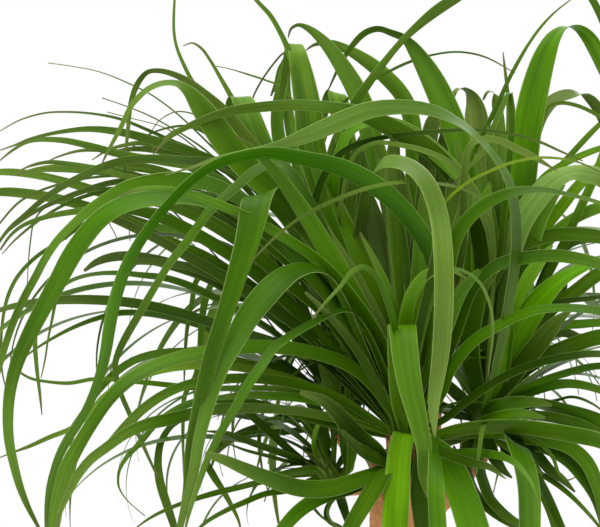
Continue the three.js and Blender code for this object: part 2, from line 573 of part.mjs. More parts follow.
// Stations along a traced leaf: its middle line, its half width and the direction across it
function tracedStations([headName, width, reach, face, stops]) {
  const [rootX, rootY] = heads[headName].at;
  const depth = heads[headName].depth;
  const firstSpan = Math.hypot(stops[0][0] - rootX, stops[0][1] - rootY);
  const rootWidth = stops[0][2] * (firstSpan > blade.hiddenSpan ? blade.baseShare : 1);
  const marks = [[rootX, rootY, rootWidth], ...stops];
  const lengths = [0];
  for (let i = 1; i < marks.length; i += 1) {
    const span = Math.hypot(marks[i][0] - marks[i - 1][0], marks[i][1] - marks[i - 1][1]);
    lengths.push(lengths[i - 1] + span);
  }
  const total = lengths[lengths.length - 1];
  const knots = marks.map(([x, y], i) => fromPhoto(x, y, depth + reach * easeOut(lengths[i] / total)));
  const curve = new THREE.CatmullRomCurve3(knots, false, 'centripetal');
  const middleX = marks[Math.floor(marks.length / 2)][0];
  const turn = (middleX < rootX ? -1 : 1) * face;
  const stations = [];
  for (let i = 0; i <= blade.samples; i += 1) {
    const t = i / blade.samples;
    const position = t * (marks.length - 1);
    const before = Math.min(Math.floor(position), marks.length - 2);
    const part = position - before;
    const u = THREE.MathUtils.lerp(lengths[before], lengths[before + 1], part) / total;
    const seenPixels = THREE.MathUtils.lerp(marks[before][2], marks[before + 1][2], part);
    const point = curve.getPoint(t);
    const along = curve.getTangent(t);
    const toPoint = point.clone().sub(eye);
    const seen = (seenPixels * view.pixelSize * toPoint.length()) / view.distance / 2;
    const half = Math.max(seen, (width / 2) * fullness(u), blade.minWidth / 2);
    const roll = Math.acos(Math.min(1, seen / half)) * turn;
    const flat = along.clone().cross(toPoint).normalize();
    const deep = flat.clone().cross(along).normalize();
    const across = flat.multiplyScalar(Math.cos(roll)).addScaledVector(deep, Math.sin(roll));
    const upper = along.clone().cross(across).multiplyScalar(face).normalize();
    stations.push({ point, half, across, upper });
  }
  return eased(stations);
}

// Narrows a blade where it bends sideways more tightly than its own width allows
function eased(stations) {
  for (let i = 1; i + 1 < stations.length; i += 1) {
    const before = stations[i].point.clone().sub(stations[i - 1].point);
    const after = stations[i + 1].point.clone().sub(stations[i].point);
    const reach = (before.length() + after.length()) / 2;
    const swing = Math.abs(after.normalize().sub(before.normalize()).dot(stations[i].across));
    const limit = (blade.tightest * reach) / Math.max(swing, 1e-6);
    stations[i].half = Math.max(Math.min(stations[i].half, limit), blade.minWidth / 2);
  }
  return stations;
}

function draw(leaf, item) {
  const value = Math.sin(leaf * 12.9898 + item * 78.233 + leafSeed) * 43758.5453;
  return value - Math.floor(value);
}

// Stations along a hidden leaf: it rises from its head, arches over and hangs
function hiddenStations(row, index, serial) {
  const spread = (index + 0.5) / row.count;
  const stray = arching.scatter * (draw(serial, 1) - 0.5);
  const compass = THREE.MathUtils.degToRad(row.from + (row.to - row.from) * spread + stray);
  const rank = (index * arching.riseStep + arching.riseStart) % 1;
  const rise = THREE.MathUtils.degToRad(THREE.MathUtils.lerp(row.rise[0], row.rise[1], rank));
  const length = THREE.MathUtils.lerp(row.length[0], row.length[1], draw(serial, 2));
  const width = THREE.MathUtils.lerp(row.width[0], row.width[1], draw(serial, 3));
  const fall = arching.droop[0] + arching.droop[1] * draw(serial, 4);
  const droop = THREE.MathUtils.degToRad(fall) + rise * arching.droopPerRise;
  const lean = arching.lean * (draw(serial, 5) - 0.5);
  const away = new THREE.Vector3(Math.cos(compass), Math.sin(compass), 0);
  const sideways = new THREE.Vector3(-Math.sin(compass), Math.cos(compass), 0);
  const stations = [];
  const point = headPoint(row.head);
  const step = length / blade.samples;
  for (let i = 0; i <= blade.samples; i += 1) {
    const u = i / blade.samples;
    const pitch = rise - droop * Math.pow(u, arching.bendPower);
    const along = away.clone().multiplyScalar(Math.cos(pitch));
    along.z = Math.sin(pitch);
    along.addScaledVector(sideways, lean * u).normalize();
    const half = Math.max((width / 2) * fullness(u), blade.minWidth / 2);
    const roll = (draw(serial, 6) - 0.5) * arching.twist * u;
    const flat = sideways.clone().addScaledVector(along, -sideways.dot(along)).normalize();
    const deep = flat.clone().cross(along).normalize();
    const across = flat.multiplyScalar(Math.cos(roll)).addScaledVector(deep, Math.sin(roll));
    const upper = along.clone().cross(across).normalize();
    if (upper.dot(away) + upper.z * 2 < 0) upper.negate();
    stations.push({ point: point.clone(), half, across, upper });
    point.addScaledVector(along, step);
  }
  return stations;
}

// Leaves out the stations that a straight facet already passes within the tolerance
function thinned(stations) {
  const kept = [stations[0]];
  let start = 0;
  while (start < stations.length - 1) {
    let end = stations.length - 1;
    while (end > start + 1 && !isStraight(stations, start, end)) end -= 1;
    kept.push(stations[end]);
    start = end;
  }
  return kept;
}

function isStraight(stations, start, end) {
  const first = stations[start];
  const last = stations[end];
  for (let i = start + 1; i < end; i += 1) {
    const part = (i - start) / (end - start);
    for (const side of [-1, 1]) {
      const corner = edgePoint(stations[i], side);
      const straight = edgePoint(first, side).lerp(edgePoint(last, side), part);
      if (corner.distanceTo(straight) > blade.tolerance * (1 + 2 * Math.abs(part - 0.5))) return false;
    }
  }
  return true;
}

function edgePoint(station, side) {
  return station.point.clone().addScaledVector(station.across, station.half * side);
}

function bladeSolid(stations) {
  const rings = thinned(stations).map((station) => {
    const keel = THREE.MathUtils.clamp(station.half * 2 * blade.keel, blade.minKeel, blade.maxKeel);
    const under = station.point.clone().addScaledVector(station.upper, -keel);
    return [edgePoint(station, -1), edgePoint(station, 1), under];
  });
  return toSolid(skin(rings));
}

// The packed leaf bases of a head, a slim bud that its leaves stand out of
function headSolid(name) {
  const { size } = heads[name];
  const profile = [
    [0, -head.below],
    [head.radius * head.foot[0], -head.below],
    [head.radius, -head.below * head.foot[1]],
    [head.radius, 0],
    [head.radius * head.shoulder[0], head.above * head.shoulder[1]],
    [head.radius * head.neck[0], head.above * head.neck[1]],
    [0, head.above],
  ];
  const geometry = turned(profile, head.sides);
  geometry.scale(size, size, size);
  const middle = headPoint(name);
  geometry.translate(middle.x, middle.y, middle.z);
  return toSolid(geometry);
}

function crownSolid(trunkWithClearance) {
  const parts = Object.keys(heads).map(headSolid);
  for (const leaf of Object.values(tracedLeaves)) parts.push(bladeSolid(tracedStations(leaf)));
  let serial = 0;
  for (const row of hiddenLeaves) {
    for (let index = 0; index < row.count; index += 1) {
      parts.push(bladeSolid(hiddenStations(row, index, serial)));
      serial += 1;
    }
  }
  return tidied(joined(parts).subtract(trunkWithClearance));
}

// Trunk

// The swollen base and slim stem, grown outwards by extra
function trunkBody(extra) {
  const profile = trunk.profile.map(([height, radius]) => {
    const grown = radius === 0 ? 0 : radius + extra;
    return [grown, height];
  });
  profile[0][1] -= extra;
  profile[1][1] -= extra;
  profile[profile.length - 1][1] += extra;
  const geometry = turned(profile, trunk.sides);
  const position = geometry.attributes.position;
  for (let i = 0; i < position.count; i += 1) {
    const x = position.getX(i);
    const y = position.getY(i);
    const z = position.getZ(i);
    const radius = Math.hypot(x, y);
    if (radius < 1) continue;
    const angle = Math.atan2(y, x);
    const shown = THREE.MathUtils.smoothstep(z, ...trunk.lumpStart);
    const kept = shown * (1 - THREE.MathUtils.smoothstep(z, ...trunk.lumpEnd));
    const folds = Math.sin(3 * angle + z * 0.03) + 0.7 * Math.sin(5 * angle - z * 0.05);
    const grown = 1 + (trunk.lump * kept * folds) / radius;
    position.setX(i, x * grown);
    position.setY(i, y * grown);
  }
  return toSolid(geometry);
}

// Middle line of the branch that carries a head
function branchPoints(name) {
  const { size, fork, sag } = heads[name];
  const end = headPoint(name);
  end.z -= trunk.budSeat * size + seat;
  const share = trunk.branchOffset;
  const start = new THREE.Vector3(end.x * share, end.y * share, fork);
  const bend = start.clone().lerp(end, trunk.branchBend);
  bend.z -= sag;
  return [start, start.clone().lerp(bend, 0.5), bend, bend.clone().lerp(end, 0.6), end];
}

function branchSolid(name, extra) {
  const radius = trunk.branchRadius * heads[name].size;
  const radii = trunk.branchTaper.map((share) => share * radius + extra);
  const points = branchPoints(name);
  const solid = toSolid(stem(points, radii, trunk.branchSides));
  const top = points[points.length - 1].z + extra;
  return solid.trimByPlane([0, 0, -1], -top);
}

// Dry remains of old leaf sheaths: short pointed scales that lean out round the branch
function sheathScales(name, extra) {
  const { size } = heads[name];
  const points = branchPoints(name);
  const top = points[points.length - 1];
  const along = top.clone().sub(points[2]).normalize();
  const east = new THREE.Vector3(0, 1, 0).cross(along).normalize();
  const north = along.clone().cross(east);
  const scales = [];
  for (let i = 0; i < trunk.scales; i += 1) {
    const angle = i * goldenAngle;
    const out = east.clone().multiplyScalar(Math.cos(angle)).addScaledVector(north, Math.sin(angle));
    const across = along.clone().cross(out);
    const [first, step, steps] = trunk.scaleSteps;
    const back = trunk.scaleLength * size * (first + step * (i % steps));
    const root = top.clone().addScaledVector(along, -back);
    root.addScaledVector(out, trunk.branchRadius * size - trunk.scaleSink);
    const tip = root.clone().addScaledVector(along, trunk.scaleLength * size * 0.75 + extra * 2);
    tip.addScaledVector(out, trunk.scaleLean);
    const rings = [0, 0.55, 1].map((part) => {
      const half = (trunk.scaleWidth / 2) * size * (1 - part * 0.8) + extra * 1.5;
      const middle = root.clone().lerp(tip, part).addScaledVector(out, extra);
      const inner = middle.clone().addScaledVector(out, -trunk.scaleThickness * 2 - extra * 2);
      return [
        middle.clone().addScaledVector(across, half),
        middle.clone().addScaledVector(across, -half),
        inner.clone().addScaledVector(across, -half * 0.7),
        inner.clone().addScaledVector(across, half * 0.7),
      ];
    });
    scales.push(toSolid(skin(rings)));
  }
  return scales;
}

function trunkSolid(extra) {
  const parts = [trunkBody(extra)];
  for (const name of Object.keys(heads)) {
    parts.push(branchSolid(name, extra), ...sheathScales(name, extra));
  }
  return joined(parts);
}

// Pot and soil

function potInnerRadius(height) {
  const share = height / pot.height;
  return pot.baseRadius + (pot.bodyTopRadius - pot.baseRadius) * share - pot.wall;
}

function potSolid() {
  const rimBottom = pot.height - pot.rimHeight;
  const bodyRadiusAtRim = potInnerRadius(rimBottom) + pot.wall;
  const profile = [
    [0, 0],
    [pot.baseRadius - pot.footChamfer, 0],
    [pot.baseRadius, pot.footChamfer],
    [bodyRadiusAtRim, rimBottom],
    [pot.rimRadius - pot.rimRound, rimBottom],
    [pot.rimRadius, rimBottom + pot.rimRound],
    [pot.rimRadius, pot.height - pot.rimRound],
    [pot.rimRadius - pot.rimRound, pot.height],
    [potInnerRadius(pot.height) + pot.rimRound, pot.height],
    [potInnerRadius(pot.height), pot.height - pot.rimRound],
    [potInnerRadius(pot.floor), pot.floor],
    [0, pot.floor],
  ];
  let solid = toSolid(turned(profile, pot.sides));
  for (let i = 0; i < pot.drainCount; i += 1) {
    const angle = (i / pot.drainCount) * 2 * Math.PI;
    const drill = new THREE.CylinderGeometry(pot.drainRadius, pot.drainRadius, pot.floor * 3, 16);
    drill.rotateX(Math.PI / 2);
    drill.translate(pot.drainRing * Math.cos(angle), pot.drainRing * Math.sin(angle), 0);
    solid = solid.subtract(toSolid(drill));
  }
  return solid;
}

// The soil fills the pot and has a plain hole for the trunk's base
function soilSolid() {
  const outerTop = potInnerRadius(soil.top) - seat * 2;
  const outerBottom = potInnerRadius(pot.floor) - seat * 2;
  const profile = [
    [0, pot.floor + seat],
    [outerBottom, pot.floor + seat],
    [outerTop, soil.top],
    [outerTop * soil.moundShare, soil.top + soil.mound],
    [0, soil.top + soil.mound],
  ];
  return toSolid(turned(profile, soil.sides)).subtract(trunkBody(seat));
}

// The assembled plant

function material(colour, roughness) {
  return new THREE.MeshStandardMaterial({ color: colour, roughness, metalness: 0, flatShading: true });
}

function piece(name, geometry, finish) {
  const mesh = new THREE.Mesh(geometry, finish);
  mesh.name = name;
  return mesh;
}

const plant = new THREE.Group();
plant.add(piece('pot', toGeometry(potSolid()), material('#b56b45', 0.85)));
plant.add(piece('soil', toGeometry(soilSolid()), material('#3a2a1e', 0.95)));
plant.add(piece('trunk', toGeometry(trunkSolid(0)), material('#c79a6c', 0.9)));
plant.add(piece('leaf_crown', toGeometry(crownSolid(trunkSolid(seat))), material('#3f7a12', 0.45)));

export default plant;
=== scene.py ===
# Potted ponytail palm: arching strap leaves in five heads on a forked trunk, in a clay pot.
# Metres, +Z up, the origin in the middle of the pot's flat base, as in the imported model.
import math
import random

import bmesh
import bpy
import numpy as np
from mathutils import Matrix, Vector, noise


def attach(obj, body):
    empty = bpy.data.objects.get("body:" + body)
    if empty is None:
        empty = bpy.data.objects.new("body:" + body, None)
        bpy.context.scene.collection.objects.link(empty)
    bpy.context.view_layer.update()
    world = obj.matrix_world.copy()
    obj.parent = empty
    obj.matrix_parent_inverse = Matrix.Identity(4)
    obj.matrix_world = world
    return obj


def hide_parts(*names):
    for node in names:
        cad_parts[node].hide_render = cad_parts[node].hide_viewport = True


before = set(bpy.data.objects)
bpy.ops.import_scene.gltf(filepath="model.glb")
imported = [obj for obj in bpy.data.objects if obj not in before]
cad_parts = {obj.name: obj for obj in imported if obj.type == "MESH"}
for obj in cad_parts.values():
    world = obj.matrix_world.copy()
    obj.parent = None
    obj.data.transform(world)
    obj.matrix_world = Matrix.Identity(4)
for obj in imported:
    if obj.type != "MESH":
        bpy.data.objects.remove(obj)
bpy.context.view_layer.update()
print("frame loaded:", ", ".join(sorted(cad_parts)))

# Shared helpers


def linearColour(hexValue):
    channels = [int(hexValue[i:i + 2], 16) / 255 for i in (1, 3, 5)]
    return [c / 12.92 if c <= 0.04045 else ((c + 0.055) / 1.055) ** 2.4 for c in channels] + [1]


def addNode(tree, kind, inputs=None, **settings):
    node = tree.nodes.new(kind)
    for name, value in settings.items():
        setattr(node, name, value)
    for key, value in (inputs or {}).items():
        if isinstance(value, bpy.types.NodeSocket):
            tree.links.new(value, node.inputs[key])
        else:
            node.inputs[key].default_value = value
    count = len(tree.nodes)
    node.location = (190 * (count % 10), -280 * (count // 10))
    return node


def newMaterial(name):
    material = bpy.data.materials.new(name)
    material.use_nodes = True
    material.node_tree.nodes.clear()
    return material, material.node_tree


def paintLayers(tree, colour, layers):
    # lays tones over a colour, each with: how it mixes, the pattern that places it, two values
    # of that pattern, the tone's share at the one and at the other, and the tone
    for kind, pattern, low, high, start, end, tone in layers:
        share = addNode(tree, "ShaderNodeMapRange", {
            "Value": pattern, "From Min": low, "From Max": high, "To Min": start, "To Max": end})
        colour = addNode(tree, "ShaderNodeMix", {
            0: share.outputs[0], 6: colour, 7: linearColour(tone)},
            data_type="RGBA", blend_type=kind).outputs[2]
    return colour


def smoothStep(value, low, high):
    t = min(1, max(0, (value - low) / (high - low)))
    return t * t * (3 - 2 * t)


def mix(a, b, share):
    return a + (b - a) * share


def linked(name, data):
    result = bpy.data.objects.new(name, data)
    bpy.context.scene.collection.objects.link(result)
    return result


def objectFrom(name, vertices, faces, material, smooth=True):
    mesh = bpy.data.meshes.new(name)
    mesh.from_pydata([tuple(v) for v in vertices], [], faces)
    mesh.update()
    if smooth:
        mesh.shade_smooth()
    mesh.materials.append(material)
    return linked(name, mesh)


def applyModifiers(source, name):
    evaluated = source.evaluated_get(bpy.context.evaluated_depsgraph_get())
    mesh = bpy.data.meshes.new_from_object(evaluated)
    mesh.name = name
    result = linked(name, mesh)
    spent = source.data
    bpy.data.objects.remove(source)
    bpy.data.meshes.remove(spent)
    return result


def latheMesh(name, profile, sides, material, smooth=True):
    # profile: radius and height pairs, from axis to axis, turned about Z
    vertices, rings, faces = [], [], []
    for radius, height in profile:
        if radius == 0:
            rings.append([len(vertices)])
            vertices.append((0, 0, height))
            continue
        rings.append(list(range(len(vertices), len(vertices) + sides)))
        for i in range(sides):
            angle = 2 * math.pi * i / sides
            vertices.append((radius * math.cos(angle), radius * math.sin(angle), height))
    for lower, upper in zip(rings, rings[1:]):
        for i in range(sides):
            j = (i + 1) % sides
            if len(lower) == 1:
                faces.append((lower[0], upper[j], upper[i]))
            elif len(upper) == 1:
                faces.append((lower[i], lower[j], upper[0]))
            else:
                faces.append((lower[i], lower[j], upper[j], upper[i]))
    return objectFrom(name, vertices, faces, material, smooth)


def addModifierTree(target, tree, values):
    modifier = target.modifiers.new(tree.name, "NODES")
    modifier.node_group = tree
    sockets = {item.name: item.identifier for item in tree.interface.items_tree
               if item.item_type == "SOCKET" and item.in_out == "INPUT"}
    for name, value in values.items():
        modifier[sockets[name]] = value


def newTree(name, sockets):
    tree = bpy.data.node_groups.new(name, "GeometryNodeTree")
    tree.interface.new_socket("Geometry", in_out="INPUT", socket_type="NodeSocketGeometry")
    for label, kind, value in sockets:
        item = tree.interface.new_socket(label, in_out="INPUT", socket_type=kind)
        if value is not None:
            item.default_value = value
    tree.interface.new_socket("Geometry", in_out="OUTPUT", socket_type="NodeSocketGeometry")
    return tree, addNode(tree, "NodeGroupInput").outputs


# Camera: straight on to the crown from a little above it, filling the frame with leaves

photoView = {
    "distance": 2.0,
    "elevation": math.radians(5),
    "aim": Vector((-0.07, 0, 0.636)),
    "centre": (300, 263.5),
    "width": 600,
    "pixelSize": 0.0007,  # metres across one pixel at the crown's middle plane
    "sensor": 36,
    "clipStart": 0.05,
}
sight = Vector((0, math.cos(photoView["elevation"]), -math.sin(photoView["elevation"])))
sightUp = Vector((0, math.sin(photoView["elevation"]), math.cos(photoView["elevation"])))
eye = photoView["aim"] - sight * photoView["distance"]


def makeCamera():
    data = bpy.data.cameras.new("cropCamera")
    seenWidth = photoView["width"] * photoView["pixelSize"]
    data.sensor_width = photoView["sensor"]
    data.lens = photoView["sensor"] * photoView["distance"] / seenWidth
    data.clip_start = photoView["clipStart"]
    camera = linked("cropCamera", data)
    camera.location = eye
    camera.rotation_euler = sight.to_track_quat("-Z", "Y").to_euler()
    bpy.context.scene.camera = camera


makeCamera()
print("camera placed")

# Leaf heads: the pixel and the depth (mm in front of the middle plane) that the leaves grow from

leafHeads = {
    "front": (405, 440, 35),
    "left": (334, 474, 12),
    "right": (484, 420, 5),
    "back": (425, 400, -58),
    "upper": (347, 420, -40),
}

# Leaf looks: colour, and how far up a leaf (share of its length) the lime of its base reaches. Several are
# the one leaf green made lighter or darker to paint in light and shade, as marked below

leafLooks = {
    "mid": ("#467200", 0.14),
    # painted shade: a darker copy of the leaf green, for leaves that lie in shadow inside the crown
    "shadedDeep": ("#2c5000", 0.1),
    "fresh": ("#548500", 0.22),
    # the next two: partly the yellow-green of young leaves, partly painted light, the glow of leaves with
    # light shining through them
    "bright": ("#5c9400", 0.5),
    "lime": ("#78b000", 0.6),
    # painted sheen: the next three are pale, whitish grey-green copies of the leaf green where light
    # glances off a leaf; on the third the lime of the base reaches far up, so the sheen shows only towards
    # the end
    "pale": ("#5f802e", 0.12),
    "sheenSilver": ("#7a9150", 0.25),
    "sheenTowardsEnd": ("#7a9150", 0.75),
    "vivid": ("#2f6f00", 0.3),
    "olive": ("#6d8a10", 0.1),
    "sheath": ("#56781a", 0.03),
}
leafSpread = {
    "light": (0.82, 0.36),  # how light a leaf is against its look: least, and how much more
    "warm": (0.9, 0.22),  # the same for more red and less blue
}

# Leaves seen from the front: head, width in mm, depth in mm towards the viewer at the tip, look,
# and stops of pixel x, pixel y, width in pixels and, on some, depth in mm. Depths count from
# the head, and between two that are given the leaf eases from the one to the other.

